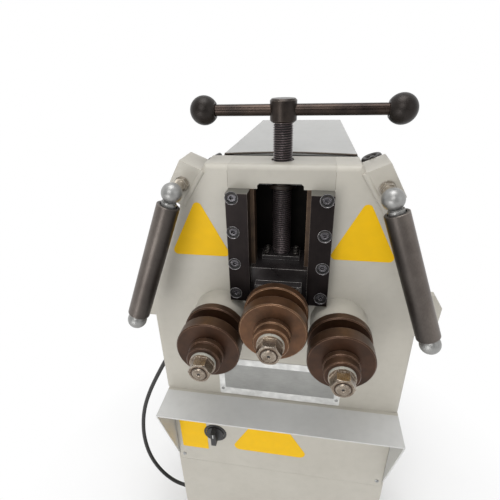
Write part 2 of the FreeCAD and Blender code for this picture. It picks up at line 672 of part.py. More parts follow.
def make_bearing_housings():
    for name, side in SIDES:
        body = piece(name + "_bearing_housing", "%d * roll_spacing / 2" % side, "0", "lower_shaft_height")
        lip = "shoulder_diameter / 2 + 1"
        seat = "bearing_outer / 2"
        inside = "housing_lip - housing_reach"
        turn(body, "XY_Plane",
             [((lip, "-housing_reach"), ("housing_diameter / 2 - collar_edge", "-housing_reach"),
               ("housing_diameter / 2", "collar_edge - housing_reach"), ("housing_diameter / 2", "0"),
               ("spigot_diameter / 2", "0"), ("spigot_diameter / 2", "front_wall"), (seat, "front_wall"),
               (seat, inside), (lip, inside))])


def make_lower_bearings():
    body = piece("lower_bearings")
    for start in ("housing_lip - housing_reach", "head_depth + 1.5"):
        circles = []
        for name, side in SIDES:
            for diameter in ("bearing_outer", "journal_diameter + 2 * running_gap"):
                circles.append(("%d * roll_spacing / 2" % side, "lower_shaft_height", diameter))
        slab(body, start, "%s + bearing_width" % start, [], circles)


def make_arm_blocks():
    for name, side in SIDES:
        body = piece(name + "_arm_block")
        top = "(arm_height + block_top)"
        foot = "(arm_height - block_foot)"
        outline = ((upper_slope_at(top), top), ("arm_across + block_reach", "arm_height + block_rise"),
                   ("arm_across + block_side", "arm_height - block_side_drop"),
                   ("arm_across + block_heel", "arm_height - block_heel_drop"),
                   (lower_slope_at(foot), foot), (SHOULDER_ACROSS, SHOULDER_HEIGHT))
        slab(body, "0", "head_depth", [mirror_polygon(side, outline)])
        centre = ("%d * arm_across" % side, "arm_height")
        front_cut(body, "-1", "stud_depth", [], [centre + ("stud_diameter",)])
        front_cut(body, "-1", "stud_hole_depth", [], [centre + ("stud_hole",)])


def make_side_lugs():
    body = piece("side_lugs")
    half = "head_width / 2"
    foot = "head_corner - lug_foot_drop"
    top = "head_corner + lug_rise"
    outline = ((half, foot), (half + " + lug_toe", foot), (half + " + lug_reach", "head_corner + lug_reach_rise"),
               (half + " + lug_tip", top), (lower_slope_at(top), top), (half, "head_corner"))
    slab(body, "lug_front", "lug_front + lug_thickness", [mirror_polygon(side, outline) for name, side in SIDES])


def primitive(kind, name, sizes, across="0", back="0", up="0", axis=Vector(0, 0, 1), angle="0"):
    """A Part primitive with its sizes tied, turned about an axis and placed in the head's frame."""
    solid = doc.addObject(kind, name)
    for prop, text in sizes.items():
        bind(solid, prop, text)
    solid.Placement = Placement(Vector(0, 0, 0), Rotation(axis, 0))
    solid.Placement.Rotation.Axis = axis
    for letter, part in zip("xyz", axis):
        solid.setExpression("Placement.Rotation.Axis." + letter, "%.1f" % part)
    bind(solid, "Placement.Rotation.Angle", angle)
    place(solid, across, back, up)
    return solid


def join(kind, name, shapes):
    """A boolean or a compound of several solids."""
    result = doc.addObject(kind, name)
    if kind == "Part::Compound":
        result.Links = shapes
    else:
        result.Shapes = shapes
    return result


def subtract(name, base, tool):
    """One solid less another."""
    result = doc.addObject("Part::Cut", name)
    result.Base = base
    result.Tool = tool
    return result


def keep(result, name):
    """Makes a Part result the node of that name."""
    result.Label = name
    nodes.append(result)


def make_lifting_eyes():
    eyes = []
    for name, across, up, turned in (("left", "eye_left_inset - arm_across", "arm_height + eye_left_rise",
                                      "-eye_left_turn"),
                                     ("right", "arm_across - eye_inset", "arm_height + eye_rise", "-eye_turn")):
        ring_centre = "(head_depth + eye_collar_height + eye_ring / 2)"
        lying = primitive("Part::Torus", name + "_eye_ring", {"Radius1": "eye_ring / 2", "Radius2": "eye_section / 2"},
                          across, ring_centre, up, Vector(0, 1, 0), turned)
        collar = primitive("Part::Cylinder", name + "_eye_collar",
                           {"Radius": "eye_collar / 2", "Height": "eye_collar_height"},
                           across, "head_depth + eye_collar_height", up, Vector(1, 0, 0), "90")
        eyes.append(join("Part::MultiFuse", name + "_eye", [lying, collar]))
    keep(join("Part::Compound", "lifting_eyes", eyes), "lifting_eyes")


def make_rear_guard():
    body = piece("rear_guard")

    def section(level, half, left, right, top, inset):
        wide = "(%s - %s)" % (half, inset)
        west = "(head_top_width / 2 - %s - %s)" % (left, inset)
        east = "(head_top_width / 2 - %s - %s)" % (right, inset)
        high = "(head_height + %s - %s)" % (top, inset)
        west_knee = "(%s - (%s - %s) / guard_lean)" % (high, wide, west)
        east_knee = "(%s - (%s - %s) / guard_lean)" % (high, wide, east)
        return draw(body, "XZ_Plane", "-(%s)" % level,
                    [(("-" + wide, "0"), (wide, "0"), (wide, east_knee), (east, high), ("-" + west, high),
                      ("-" + wide, west_knee))])

    foremost = ("guard_half", "guard_left_inset", "guard_right_inset", "(-guard_top_drop)")
    rearmost = ("guard_back_half", "guard_back_left_inset", "guard_back_right_inset", "guard_back_rise")
    back_level = "guard_front + guard_depth"
    front = section("guard_front", *foremost, "0")
    back = section(back_level, *rearmost, "0")
    outer = body.newObject("PartDesign::AdditiveLoft", "guard_outside")
    outer.Profile = front
    outer.Sections = [back]
    outer.Ruled = True
    front_inner = section("guard_front", *foremost, "guard_sheet")
    back_inner = section(back_level + " - guard_sheet", *rearmost, "guard_sheet")
    inner = body.newObject("PartDesign::SubtractiveLoft", "guard_inside")
    inner.Profile = front_inner
    inner.Sections = [back_inner]
    inner.Ruled = True
    side_hole = draw(body, "YZ_Plane", "-guard_half - 1", [],
                     [("cable_plane", "gland_upper_height", "gland_thread + 2 * fit_gap")])
    pocket(body, side_hole, "guard_half - gland_upper_wall + gland_inside", along_normal=True)


# ---------------------------------------------------------------- carriage and pressure screw

def make_carriage():
    body = piece("carriage_block")
    wide = "(rail_inner - slide_gap)"
    neck = "(rail_inner - liner_thickness - slide_gap)"
    back_face = "(front_wall + slide_gap)"
    flange = "carriage_flange"
    outline = (("-" + wide, "-carriage_front"), (wide, "-carriage_front"), (wide, "-slide_gap"),
               (neck, "-slide_gap"), (neck, back_face), (flange, back_face), (flange, "carriage_back"),
               ("-" + flange, "carriage_back"), ("-" + flange, back_face), ("-" + neck, back_face),
               ("-" + neck, "-slide_gap"), ("-" + wide, "-slide_gap"))
    post(body, "carriage_foot", "carriage_top", [outline])
    slab(body, "-nose_reach", "-carriage_front", [box("-nose_half", "nose_foot", "nose_half", "nose_top")])
    axis = ("0", "upper_shaft_height")
    front_cut(body, "-nose_reach - 1", "carriage_back + 1", [], [axis + ("carriage_bore",)])
    front_cut(body, "-nose_reach - 1", "upper_bearing_width - nose_reach", [], [axis + ("upper_bearing_outer",)])
    front_cut(body, "carriage_back - upper_bearing_width", "carriage_back + 1", [],
              [axis + ("upper_bearing_outer",)])
    down_cut(body, "carriage_top - button_height - 2 * fit_gap", "carriage_top + 1", [],
             [("0", "screw_back", "screw_button + 2")])
    bearings = piece("upper_bearings")
    for start in ("-nose_reach", "carriage_back - upper_bearing_width"):
        slab(bearings, start, "%s + upper_bearing_width" % start, [],
             [axis + ("upper_bearing_outer",), axis + ("shaft_diameter + 2 * running_gap",)])


def make_retaining_plate():
    body = piece("retaining_plate")
    top = "carriage_top + plate_thickness"
    post(body, "carriage_top", top,
         [box("-plate_width / 2", "screw_back - plate_depth / 2", "plate_width / 2", "screw_back + plate_depth / 2")],
         [("0", "screw_back", "screw_neck + 2 * running_gap + 1")])
    screws = piece("plate_screws")
    spots = [("%d * plate_screw_across" % i, "screw_back + %d * plate_screw_deep" % j)
             for i in (-1, 1) for j in (-1, 0, 1)]
    down_cut(body, "carriage_top - 1", top + " + 1", [],
             [(x, y, "plate_screw_shank + 2 * fit_gap") for x, y in spots])
    post(screws, "carriage_top", top, [], [(x, y, "plate_screw_shank") for x, y in spots])
    post(screws, top, top + " + plate_screw_height", [], [(x, y, "plate_screw_head") for x, y in spots])


def make_pressure_screw():
    body = piece("pressure_screw", "0", "screw_back", "0")
    button = "carriage_top - button_height - fit_gap"
    under = "carriage_top - fit_gap"
    over = "carriage_top + plate_thickness + plate_screw_height"
    turn(body, "XZ_Plane",
         [(("0", button), ("screw_button / 2", button), ("screw_button / 2", under), ("screw_neck / 2", under),
           ("screw_neck / 2", over), ("screw_diameter / 2", over + " + 2"), ("screw_diameter / 2", "screw_top"),
           ("0", "screw_top"))])
    hub = piece("screw_hub", "0", "screw_back", "0")
    top = "hub_foot + hub_height"
    wide = "hub_diameter / 2"
    turn(hub, "XZ_Plane",
         [(("0", "screw_top"), ("screw_diameter / 2", "screw_top"), ("screw_diameter / 2", "hub_foot"),
           (wide + " - hub_edge", "hub_foot"), (wide, "hub_foot + hub_edge"), (wide, top + " - hub_edge"),
           (wide + " - hub_edge", top), ("0", top))])
    cross = draw(hub, "YZ_Plane", "-hub_diameter", [], [("0", "bar_height", "bar_diameter + 2 * running_gap")])
    pocket(hub, cross, "hub_diameter * 2", along_normal=True)


def make_tommy_bar():
    body = piece("tommy_bar", "0", "screw_back", "bar_height")
    section = draw(body, "YZ_Plane", "-bar_left_length", [], [("0", "0", "bar_diameter")])
    pad(body, section, "bar_left_length + bar_right_length")
    balls = []
    for name, side, centre in (("left", -1, "-bar_left_length"), ("right", 1, "bar_right_length")):
        ball = primitive("Part::Sphere", name + "_ball", {"Radius": "ball_diameter / 2"},
                         centre, "screw_back", "bar_height")
        trim = primitive("Part::Box", name + "_ball_trim",
                         {"Length": "ball_diameter", "Width": "ball_diameter", "Height": "ball_diameter"},
                         "%s - %s" % (centre, "ball_flat" if side > 0 else "(ball_diameter - ball_flat)"),
                         "screw_back - ball_diameter / 2", "bar_height - ball_diameter / 2")
        flat = doc.addObject("Part::Common", name + "_ball_flat")
        flat.Base = ball
        flat.Tool = trim
        bore = primitive("Part::Cylinder", name + "_ball_bore",
                         {"Radius": "bar_diameter / 2", "Height": "ball_diameter / 2"},
                         centre if side < 0 else centre + " - ball_diameter / 2", "screw_back", "bar_height",
                         Vector(0, 1, 0), "90")
        balls.append(subtract(name + "_ball_knob", flat, bore))
    keep(join("Part::Compound", "ball_knobs", balls), "ball_knobs")


# ---------------------------------------------------------------- rolls

DISC_BACK = "(front_disc + groove_width + rear_disc - roll_reach)"
COLLAR_END = "(-roll_reach - collar_inner_width - collar_outer_width)"
NUT_BACK = "(%s - washer_width)" % COLLAR_END
SHAFT_END = "(%s - nut_height - shaft_proud)" % NUT_BACK


def make_roll(name, across, up, driven):
    """One shaft with its two discs, spacers, washer and nut."""
    bore = "shaft_diameter / 2"
    shaft = piece(name + "_shaft", across, "0", up)
    thread = "thread_diameter / 2"
    nose = (("0", SHAFT_END + " + centre_hole / 2"), ("centre_hole / 2", SHAFT_END),
            (thread + " - 1.5", SHAFT_END), (thread, SHAFT_END + " + 1.5"), (thread, COLLAR_END + " + 1"),
            (bore, COLLAR_END + " + 1"), (bore, DISC_BACK))
    shoulder = "shoulder_diameter / 2"
    if driven:
        journal = "journal_diameter / 2"
        lip = "housing_lip - housing_reach - 0.5"
        end = "gear_front + gear_width + 8"
        tail = ((shoulder, DISC_BACK), (shoulder, lip), (journal, lip), (journal, end), ("0", end))
    else:
        lip = "-nose_reach - 0.5"
        end = "carriage_back - 1"
        tail = ((shoulder, DISC_BACK), (shoulder, lip), (bore, lip), (bore, end), ("0", end))
    turn(shaft, "XY_Plane", [nose + tail])
    front_face = "-roll_reach"
    groove_front = "front_disc - roll_reach"
    groove_back = "front_disc + groove_width - roll_reach"
    front = piece(name + "_front_disc", across, "0", up)
    turn(front, "XY_Plane", [ring(bore, "disc_diameter / 2", front_face, groove_front, "disc_edge")])
    rear = piece(name + "_rear_disc", across, "0", up)
    turn(rear, "XY_Plane", [ring(bore, "disc_diameter / 2", groove_back, DISC_BACK, "disc_edge")])
    spacers = piece(name + "_spacers", across, "0", up)
    collar = "(-roll_reach - collar_inner_width)"
    turn(spacers, "XY_Plane",
         [ring(bore, "groove_core / 2", groove_front, groove_back),
          ring(bore, "collar_inner / 2", collar, front_face, "collar_edge"),
          ring(bore, "collar_outer / 2", COLLAR_END, "%s - 0.01" % collar, "collar_edge")])
    nut = piece(name + "_nut", across, "0", up)
    slab(nut, "%s - nut_height" % NUT_BACK, NUT_BACK, [hexagon("0", "0", "nut_flats")], [("0", "0", "thread_diameter")])
    face = "(%s - nut_height)" % NUT_BACK
    corner = "nut_flats * 0.6"
    turn(nut, "XY_Plane",
         [(("nut_flats / 2", face + " - 1"), (corner, face + " - 1"), (corner, face + " + nut_flats * 0.09 - 0.3"),
           ("nut_flats / 2", face))], groove=True)
    slab(nut, NUT_BACK, COLLAR_END, [], [("0", "0", "washer_diameter"), ("0", "0", "thread_diameter + 0.5")])


# ---------------------------------------------------------------- gears

def tooth_flank(teeth, module, thinning):
    """Three points of an involute flank, as radius and angle from the tooth's centre line."""
    pressure = math.radians(20)
    pitch = teeth * module / 2
    base = pitch * math.cos(pressure)
    half_tooth = math.pi / (2 * teeth) - thinning / (2 * pitch)
    centre = half_tooth + math.tan(pressure) - pressure
    root = max(base, pitch - 1.1 * module)
    points = []
    for radius in (root, (root + pitch + module) / 2, pitch + module):
        roll = math.acos(min(1.0, base / radius))
        points.append((radius, centre - (math.tan(roll) - roll)))
    return points


def gear_outline(teeth, module, thinning, turned):
    """The closed outline of a spur gear: arcs along the tips, the flanks and the roots."""
    flank = tooth_flank(teeth, module, thinning)
    root = teeth * module / 2 - 1.25 * module

    def spot(radius, angle):
        return Vector(radius * math.cos(angle), 0, radius * math.sin(angle))

    edges = []
    for i in range(teeth):
        middle = turned + 2 * math.pi * i / teeth
        following = middle + 2 * math.pi / teeth
        rising = [spot(radius, middle - angle) for radius, angle in flank]
        falling = [spot(radius, middle + angle) for radius, angle in reversed(flank)]
        foot = flank[0][1]
        start = spot(root, middle - foot)
        leave = spot(root, middle + foot)
        edges.append(Part.LineSegment(start, rising[0]))
        edges.append(Part.Arc(*rising))
        edges.append(Part.Arc(rising[2], spot(flank[2][0], middle), falling[0]))
        edges.append(Part.Arc(*falling))
        edges.append(Part.LineSegment(falling[2], leave))
        edges.append(Part.Arc(leave, spot(root, (middle + following) / 2), spot(root, following - foot)))
    return Part.Wire([edge.toShape() for edge in edges])


def toothed(teeth, turned):
    """A toothed wheel of the gears' width about the Y axis, its front face at zero."""
    face = Part.Face(gear_outline(teeth, size("gear_module"), size("gear_backlash"), turned))
    return face.extrude(Vector(0, size("gear_width"), 0))


def barrel(radius, front, length):
    """A cylinder about the Y axis."""
    return Part.makeCylinder(radius, length, Vector(0, front, 0), Vector(0, 1, 0))


def add_feature(name, shape, across, back, up):
    """A Part::Feature in the head's frame."""
    feature = doc.addObject("Part::Feature", name)
    feature.Label = name
    feature.Shape = shape
    feature.Placement = Placement(Vector(across, back - size("front_setback"), up + size("deck_height")), Rotation())
    nodes.append(feature)


def make_gears():
    width = size("gear_width")
    web = size("gear_web")
    pinion_teeth = int(size("pinion_teeth"))
    gear_teeth = int(size("gear_teeth"))
    height = size("pinion_height")
    run = size("roll_spacing") / 2
    for name, side in SIDES:
        to_pinion = math.atan2(height - size("lower_shaft_height"), -side * run)
        from_pinion = math.atan2(size("lower_shaft_height") - height, side * run)
        # The pinion has a tooth centred on its own zero angle, so its tooth phase at the mesh is known.
        phase = (from_pinion * pinion_teeth / (2 * math.pi)) % 1.0
        turned = to_pinion + (phase + 0.5) * 2 * math.pi / gear_teeth
        wheel = toothed(gear_teeth, turned)
        rim = gear_teeth * size("gear_module") / 2 - 2.8 * size("gear_module")
        hub = size("journal_diameter") / 2 + 12
        recess = (width - web) / 2
        for front in (0, width - recess):
            wheel = wheel.cut(barrel(rim, front, recess).cut(barrel(hub, front, recess)))
        wheel = wheel.cut(barrel(size("journal_diameter") / 2, -1, width + 2))
        add_feature("lower_%s_gear" % name, wheel, side * run, size("gear_front"), size("lower_shaft_height"))
    pinion = toothed(pinion_teeth, 0)
    nose = size("gear_front") - size("head_depth") - 3
    tail = size("gearbox_front") + size("gearbox_depth") - 5 - size("gear_front")
    stem = barrel(size("pinion_shaft") / 2, -nose, nose + tail)
    add_feature("drive_pinion", pinion.fuse(stem).removeSplitter(), 0, size("gear_front"), height)


# ---------------------------------------------------------------- gearbox and motor

def make_gearbox():
    body = piece("gearbox")
    back = "gearbox_front + gearbox_depth"
    slab(body, "gearbox_front", back,
         [box("-gearbox_left_width", "gearbox_foot_height", "gearbox_right_width", "gearbox_height")])
    leg = box("gearbox_leg - gearbox_left_width", "gearbox_pad", "gearbox_right_width - gearbox_leg",
              "gearbox_foot_height")
    slab(body, "gearbox_front + gearbox_pad", back + " - gearbox_pad", [leg])
    slab(body, "gearbox_front", back, [box("-gearbox_left_width", "0", "gearbox_right_width", "gearbox_pad")])
    front_cut(body, "gearbox_front - 1", back + " + 1", [],
              [("0", "pinion_height", "pinion_shaft + 2 * running_gap")])


def make_motor():
    body = piece("gearmotor", "motor_across", "gearbox_front + gearbox_depth / 2", "gearbox_height")
    wide = "motor_diameter / 2"
    turn(body, "XZ_Plane",
         [(("0", "0"), (wide, "0"), (wide, "motor_flange"), (wide + " - motor_step", "motor_flange"),
           (wide + " - motor_step", "motor_length"), (wide, "motor_length"),
           (wide, "motor_length + motor_cowl - cowl_edge"), (wide + " - cowl_edge", "motor_length + motor_cowl"),
           ("0", "motor_length + motor_cowl"))])
    reach = "(motor_diameter / 2 + terminal_depth)"
    post(body, "motor_length / 3", "motor_length / 3 + terminal_box",
         [box("-" + reach, "-terminal_box / 2", "0", "terminal_box / 2")])


# ---------------------------------------------------------------- guide rollers

def make_guide_studs():
    body = piece("guide_studs")
    centres = [("%d * arm_across" % side, "arm_height") for name, side in SIDES]
    reach = "(-arm_front + guide_ball / 2 - stud_in_ball)"
    slab(body, reach, "stud_depth - fit_gap", [], [(x, z, "stud_diameter") for x, z in centres])
    slab(body, "stud_hole_depth - stud_nut_height", "stud_hole_depth",
         [hexagon(x, z, "stud_nut_flats") for x, z in centres])


def lean_arm(solid, side):
    """Leans a piece drawn along -Z from the pivot, out and to the front."""
    heading = "arm_heading" if side < 0 else "(-arm_heading)"
    bind(solid, "Placement.Rotation.Axis.x", "%d * sin(%s * 1 deg)" % (side, heading))
    bind(solid, "Placement.Rotation.Axis.y", "%d * cos(%s * 1 deg)" % (-side, heading))
    solid.setExpression("Placement.Rotation.Axis.z", "0.0")
    bind(solid, "Placement.Rotation.Angle", "arm_tilt")


def make_guide(name, side):
    """One guide roller: two balls, the axle between them and the tube that turns on it."""
    pivot = ("%d * arm_across" % side, "-arm_front", "arm_height")
    radius = "guide_ball / 2"
    axle = piece(name + "_guide_axle", *pivot)
    rod = "guide_axle / 2"
    flange = "axle_collar / 2"
    turn(axle, "XZ_Plane",
         [(("0", "guide_ball / 2 - 2 - arm_length"), (rod, "guide_ball / 2 - 2 - arm_length"),
           (rod, "-tube_start - 3"), (flange, "-tube_start - 3"), (flange, "-guide_ball / 2 + 1"),
           (rod, "-guide_ball / 2 + 1"), (rod, "-guide_ball / 2 + 2"), ("0", "-guide_ball / 2 + 2"))])
    lean_arm(axle, side)
    tube = piece(name + "_guide_tube", *pivot)
    outer = "guide_tube / 2"
    inner = "guide_axle / 2 + running_gap"
    recess = "tube_recess / 2"
    top = "-tube_start"
    foot = "(-tube_start - tube_length)"
    turn(tube, "XZ_Plane",
         [((inner, foot + " + tube_recess_depth"), (recess, foot + " + tube_recess_depth"), (recess, foot),
           (outer + " - 1", foot), (outer, foot + " + 1"), (outer, top + " - 1"), (outer + " - 1", top),
           (recess, top), (recess, top + " - tube_recess_depth"), (inner, top + " - tube_recess_depth"))])
    lean_arm(tube, side)
    balls = []
    for end, along in (("upper", "0"), ("lower", "arm_length")):
        ball = doc.addObject("Part::Sphere", "%s_%s_guide_ball" % (name, end))
        bind(ball, "Radius", radius)
        out = "%d * arm_across + %d * (%s) * sin(arm_tilt * 1 deg) * cos(arm_heading * 1 deg)" % (side, side, along)
        back = "-arm_front - (%s) * sin(arm_tilt * 1 deg) * sin(arm_heading * 1 deg)" % along
        up = "arm_height - (%s) * cos(arm_tilt * 1 deg)" % along
        place(ball, out, back, up)
        cutter = doc.addObject("Part::Cylinder", "%s_%s_ball_seat" % (name, end))
        bind(cutter, "Radius", rod)
        bind(cutter, "Height", "arm_length - guide_ball + 4")
        lean_arm(cutter, side)
        start = "(arm_length - guide_ball / 2 + 2)"
        place(cutter, "%d * arm_across + %d * %s * sin(arm_tilt * 1 deg) * cos(arm_heading * 1 deg)"
              % (side, side, start), "-arm_front - %s * sin(arm_tilt * 1 deg) * sin(arm_heading * 1 deg)" % start,
              "arm_height - %s * cos(arm_tilt * 1 deg)" % start)
        trimmed = subtract("%s_%s_ball_trim" % (name, end), ball, cutter)
        if end == "upper":
            hole = primitive("Part::Cylinder", name + "_stud_bore",
                             {"Radius": "stud_diameter / 2 + running_gap", "Height": "guide_ball"},
                             "%d * arm_across" % side,
                             "-arm_front + guide_ball / 2 - stud_in_ball - fit_gap + guide_ball",
                             "arm_height", Vector(1, 0, 0), "90")
            trimmed = subtract(name + "_pivot_ball", trimmed, hole)
        balls.append(trimmed)
    keep(join("Part::Compound", name + "_guide_balls", balls), name + "_guide_balls")


# ---------------------------------------------------------------- motor cable

# The route between the glands, in the plane of the cable: out from the head's side and up from the deck.
ROUTE = ((24.4, 7.9), (45.2, -10.8), (78, -66), (138.5, -184), (174, -285), (191, -400), (181, -510),
         (138, -598))


def make_cable():
    """A tube of straight runs and tangent arcs through the route's points."""
    radius = size("cable_diameter") / 2
    level = size("cable_plane") - size("front_setback")
    side = size("head_width") / 2
    upper = size("gland_upper_height")
    lower = -size("gland_lower_depth")
    run = ((size("gland_upper_wall") - side, upper), (0, upper)) + ROUTE + ((76, lower), (0, lower))
    points = [Vector(-side - out, level, up + size("deck_height")) for out, up in run]
    edges = []
    last = points[0]
    for before, corner, after in zip(points, points[1:], points[2:]):
        inward = (before - corner).normalize()
        outward = (after - corner).normalize()
        reach = 0.45 * min((before - corner).Length, (after - corner).Length)
        half_turn = (math.pi - inward.getAngle(outward)) / 2
        bend = reach / math.tan(half_turn)
        print("cable bend %.0f mm" % bend)
        start = corner + inward * reach
        finish = corner + outward * reach
        middle_way = (inward + outward).normalize()
        middle = corner + middle_way * (bend / math.cos(half_turn) - bend)
        edges.append(Part.LineSegment(last, start).toShape())
        edges.append(Part.Arc(start, middle, finish).toShape())
        last = finish
    edges.append(Part.LineSegment(last, points[-1]).toShape())
    path = Part.Wire(edges)
    first = points[1] - points[0]
    section = Part.Wire([Part.makeCircle(radius, points[0], first)])
    tube = path.makePipeShell([section], True, False)
    length = sum(edge.Length for edge in edges)
    print("cable %.0f mm long, volume ratio %.4f" % (length, tube.Volume / (math.pi * radius ** 2 * length)))
    feature = doc.addObject("Part::Feature", "motor_cable")
    feature.Label = "motor_cable"
    feature.Shape = tube
    nodes.append(feature)
    glands = []
    for wall, up in ((size("gland_upper_wall"), upper), (side, lower)):
        outside = Vector(-1, 0, 0)
        seat = Vector(-wall, size("cable_plane"), up)
        inner_end = seat - outside * size("gland_inside")
        stem = Part.makeCylinder(size("gland_thread") / 2, size("gland_inside"), inner_end, outside)
        dome = Part.makeCone(size("gland_body") / 2, radius + size("gland_lip"), size("gland_length"), seat, outside)
        through = size("gland_length") + size("gland_inside") + 2
        bore = Part.makeCylinder(radius + size("fit_gap"), through, inner_end - outside, outside)
        glands.append(stem.fuse(dome).cut(bore))
    add_feature("cable_glands", Part.makeCompound(glands), 0, 0, 0)


# ---------------------------------------------------------------- whole machine

for build_step in (make_base_plate, make_column_shell, make_control_panel, make_rear_access_panel, make_hood_shelf,
                   make_switch, make_head_frame, make_head_back_plate, make_bridge_block, make_pressure_nut,
                   make_rails, make_rail_screws, make_rail_liners, make_bearing_housings, make_lower_bearings,
                   make_arm_blocks, make_side_lugs, make_lifting_eyes, make_rear_guard, make_carriage,
                   make_retaining_plate, make_pressure_screw, make_tommy_bar):
    build_step()
make_roll("upper", "0", "upper_shaft_height", driven=False)
for side_name, side_sign in SIDES:
    make_roll("lower_" + side_name, "%d * roll_spacing / 2" % side_sign, "lower_shaft_height", driven=True)
make_gears()
make_gearbox()
make_motor()
make_guide_studs()
for side_name, side_sign in SIDES:
    make_guide(side_name, side_sign)
make_cable()
doc.recompute()

for item in doc.Objects:
    if "Invalid" in item.State or "Error" in item.State:
        raise RuntimeError("%s failed: %s" % (item.Name, item.State))
os.makedirs("parts", exist_ok=True)
for node in nodes:
    if node.Shape.isNull() or not node.Shape.isValid() or node.Shape.Volume <= 0:
        raise RuntimeError("%s has no valid shape" % node.Label)
for node in nodes:
    node.Shape.exportStep("parts/%s.step" % node.Label)
print("%d nodes" % len(nodes))
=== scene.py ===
"""Looks of a three-roll ring roller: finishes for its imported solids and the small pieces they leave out.

Lengths are in metres and angles in radians unless a name says otherwise.
Places on the head are written in millimetres from the foot of its front face, as across, back and up.
"""
import math
import random

import bmesh
import bpy
from bpy.props import FloatProperty, FloatVectorProperty, IntProperty, PointerProperty
from mathutils import Matrix, Vector


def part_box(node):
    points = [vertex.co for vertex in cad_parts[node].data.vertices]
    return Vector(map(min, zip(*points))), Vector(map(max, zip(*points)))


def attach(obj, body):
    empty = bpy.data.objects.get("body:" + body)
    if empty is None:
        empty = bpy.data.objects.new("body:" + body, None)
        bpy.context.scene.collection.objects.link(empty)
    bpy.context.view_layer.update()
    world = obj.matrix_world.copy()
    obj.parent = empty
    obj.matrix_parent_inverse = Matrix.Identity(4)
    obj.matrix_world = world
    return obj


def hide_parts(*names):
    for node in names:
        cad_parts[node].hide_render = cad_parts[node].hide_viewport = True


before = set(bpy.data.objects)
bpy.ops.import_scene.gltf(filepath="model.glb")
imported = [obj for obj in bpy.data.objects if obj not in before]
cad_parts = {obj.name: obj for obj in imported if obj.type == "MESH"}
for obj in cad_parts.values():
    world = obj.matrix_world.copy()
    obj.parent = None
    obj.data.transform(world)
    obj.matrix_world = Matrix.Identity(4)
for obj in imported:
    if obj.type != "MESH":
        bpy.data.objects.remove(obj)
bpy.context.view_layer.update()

bl_info = {
    "name": "Ring roller",
    "version": (1, 0, 0),
    "blender": (4, 5, 0),
    "location": "3D View > Sidebar > Ring roller",
    "description": "Finishes and small pieces of a three-roll ring roller",
    "category": "Add Mesh",
}

MM = 0.001
# The head's front face, and the deck of the column that its foot stands on.
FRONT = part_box("head_frame")[0][1]
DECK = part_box("head_frame")[0][2]
UP = Vector((0, 0, 1))
FORWARD, BACKWARD = Vector((0, -1, 0)), Vector((0, 1, 0))
LEFT, RIGHT = Vector((-1, 0, 0)), Vector((1, 0, 0))
SIDES = (-1, 1)

# Places in millimetres in the head's frame.
ROLLS = (("upper", 0, 291), ("lower_left", -118.2, 237), ("lower_right", 118.2, 237))
SHAFT_FACE = -173
SCREW_BACK = 42
CABLE_BACK = 130
PANEL_FACE = -8
DOOR_FACE = 302.5
BACK_FACE = 300
COLUMN_HALF = 266

# In metres: how thick a sticker is, and how far apart the ripples of a weld bead are.
STICKER = 0.0003
WELD_RIPPLE = 0.004


def spot(across, back, up):
    """A point in the row frame from millimetres in the head's frame."""
    return Vector((across * MM, FRONT + back * MM, DECK + up * MM))


def linear(colour):
    """An sRGB hex colour as linear values with full alpha. A colour that is linear already stays as it is."""
    if not isinstance(colour, str):
        return colour
    channels = [int(colour[i:i + 2], 16) / 255 for i in (1, 3, 5)]
    return tuple(c / 12.92 if c <= 0.04045 else ((c + 0.055) / 1.055) ** 2.4 for c in channels) + (1.0,)


# ---------------------------------------------------------------- sizes and colours

class RingRollerSizes(bpy.types.PropertyGroup):
    """Sizes of the pieces that are drawn here."""

    screw_pitch: FloatProperty(name="Screw pitch", description="Pitch of the pressure screw's thread",
                               default=0.004, min=0.001, unit="LENGTH")
    screw_diameter: FloatProperty(name="Screw diameter", description="Pressure screw over its thread crests",
                                  default=0.0346, min=0.01, unit="LENGTH")
    cable_diameter: FloatProperty(name="Cable diameter", description="Motor cable over its sheath",
                                  default=0.012, min=0.004, unit="LENGTH")
    plate_width: FloatProperty(name="Name plate width", description="Blank plate under the rolls",
                               default=0.275, min=0.05, unit="LENGTH")
    plate_height: FloatProperty(name="Name plate height", description="Blank plate under the rolls",
                                default=0.110, min=0.02, unit="LENGTH")
    triangle_width: FloatProperty(name="Head triangle width", description="Blank yellow triangles beside the rails",
                                  default=0.121, min=0.02, unit="LENGTH")
    triangle_height: FloatProperty(name="Head triangle height", description="Blank yellow triangles beside the rails",
                                   default=0.118, min=0.02, unit="LENGTH")
    panel_triangle_width: FloatProperty(name="Panel triangle width", description="Blank yellow triangle on the panel",
                                        default=0.200, min=0.02, unit="LENGTH")
    lens: FloatProperty(name="Lens", description="Focal length on a 36 mm sensor", default=26.487, min=10)
    thread_steps: IntProperty(name="Thread steps", description="Mesh steps round one turn of a thread",
                              default=36, min=12, max=96)


class RingRollerColours(bpy.types.PropertyGroup):
    """Colours of the finishes, as linear values."""

    body: FloatVectorProperty(name="Body enamel", description="Warm light grey of the head and column",
                              subtype="COLOR", size=4, min=0, max=1, default=linear("#AEAAA0"))
    sheet: FloatVectorProperty(name="Sheet enamel", description="Neutral grey of the hood and rear guard",
                               subtype="COLOR", size=4, min=0, max=1, default=linear("#BFBFBD"))
    rolls: FloatVectorProperty(name="Roll steel", description="Browned steel of the roll discs",
                               subtype="COLOR", size=4, min=0, max=1, default=linear("#6B4730"))
    slides: FloatVectorProperty(name="Slideway steel", description="Oiled black steel of rails and carriage",
                                subtype="COLOR", size=4, min=0, max=1, default=linear("#221C1B"))
    sign: FloatVectorProperty(name="Sign yellow", description="Yellow of the blank stickers",
                              subtype="COLOR", size=4, min=0, max=1, default=linear("#DBAD00"))


def sizes():
    """The scene's sizes."""
    return bpy.context.scene.ring_roller_sizes


def colours():
    """The scene's colours."""
    return bpy.context.scene.ring_roller_colours


# ---------------------------------------------------------------- materials

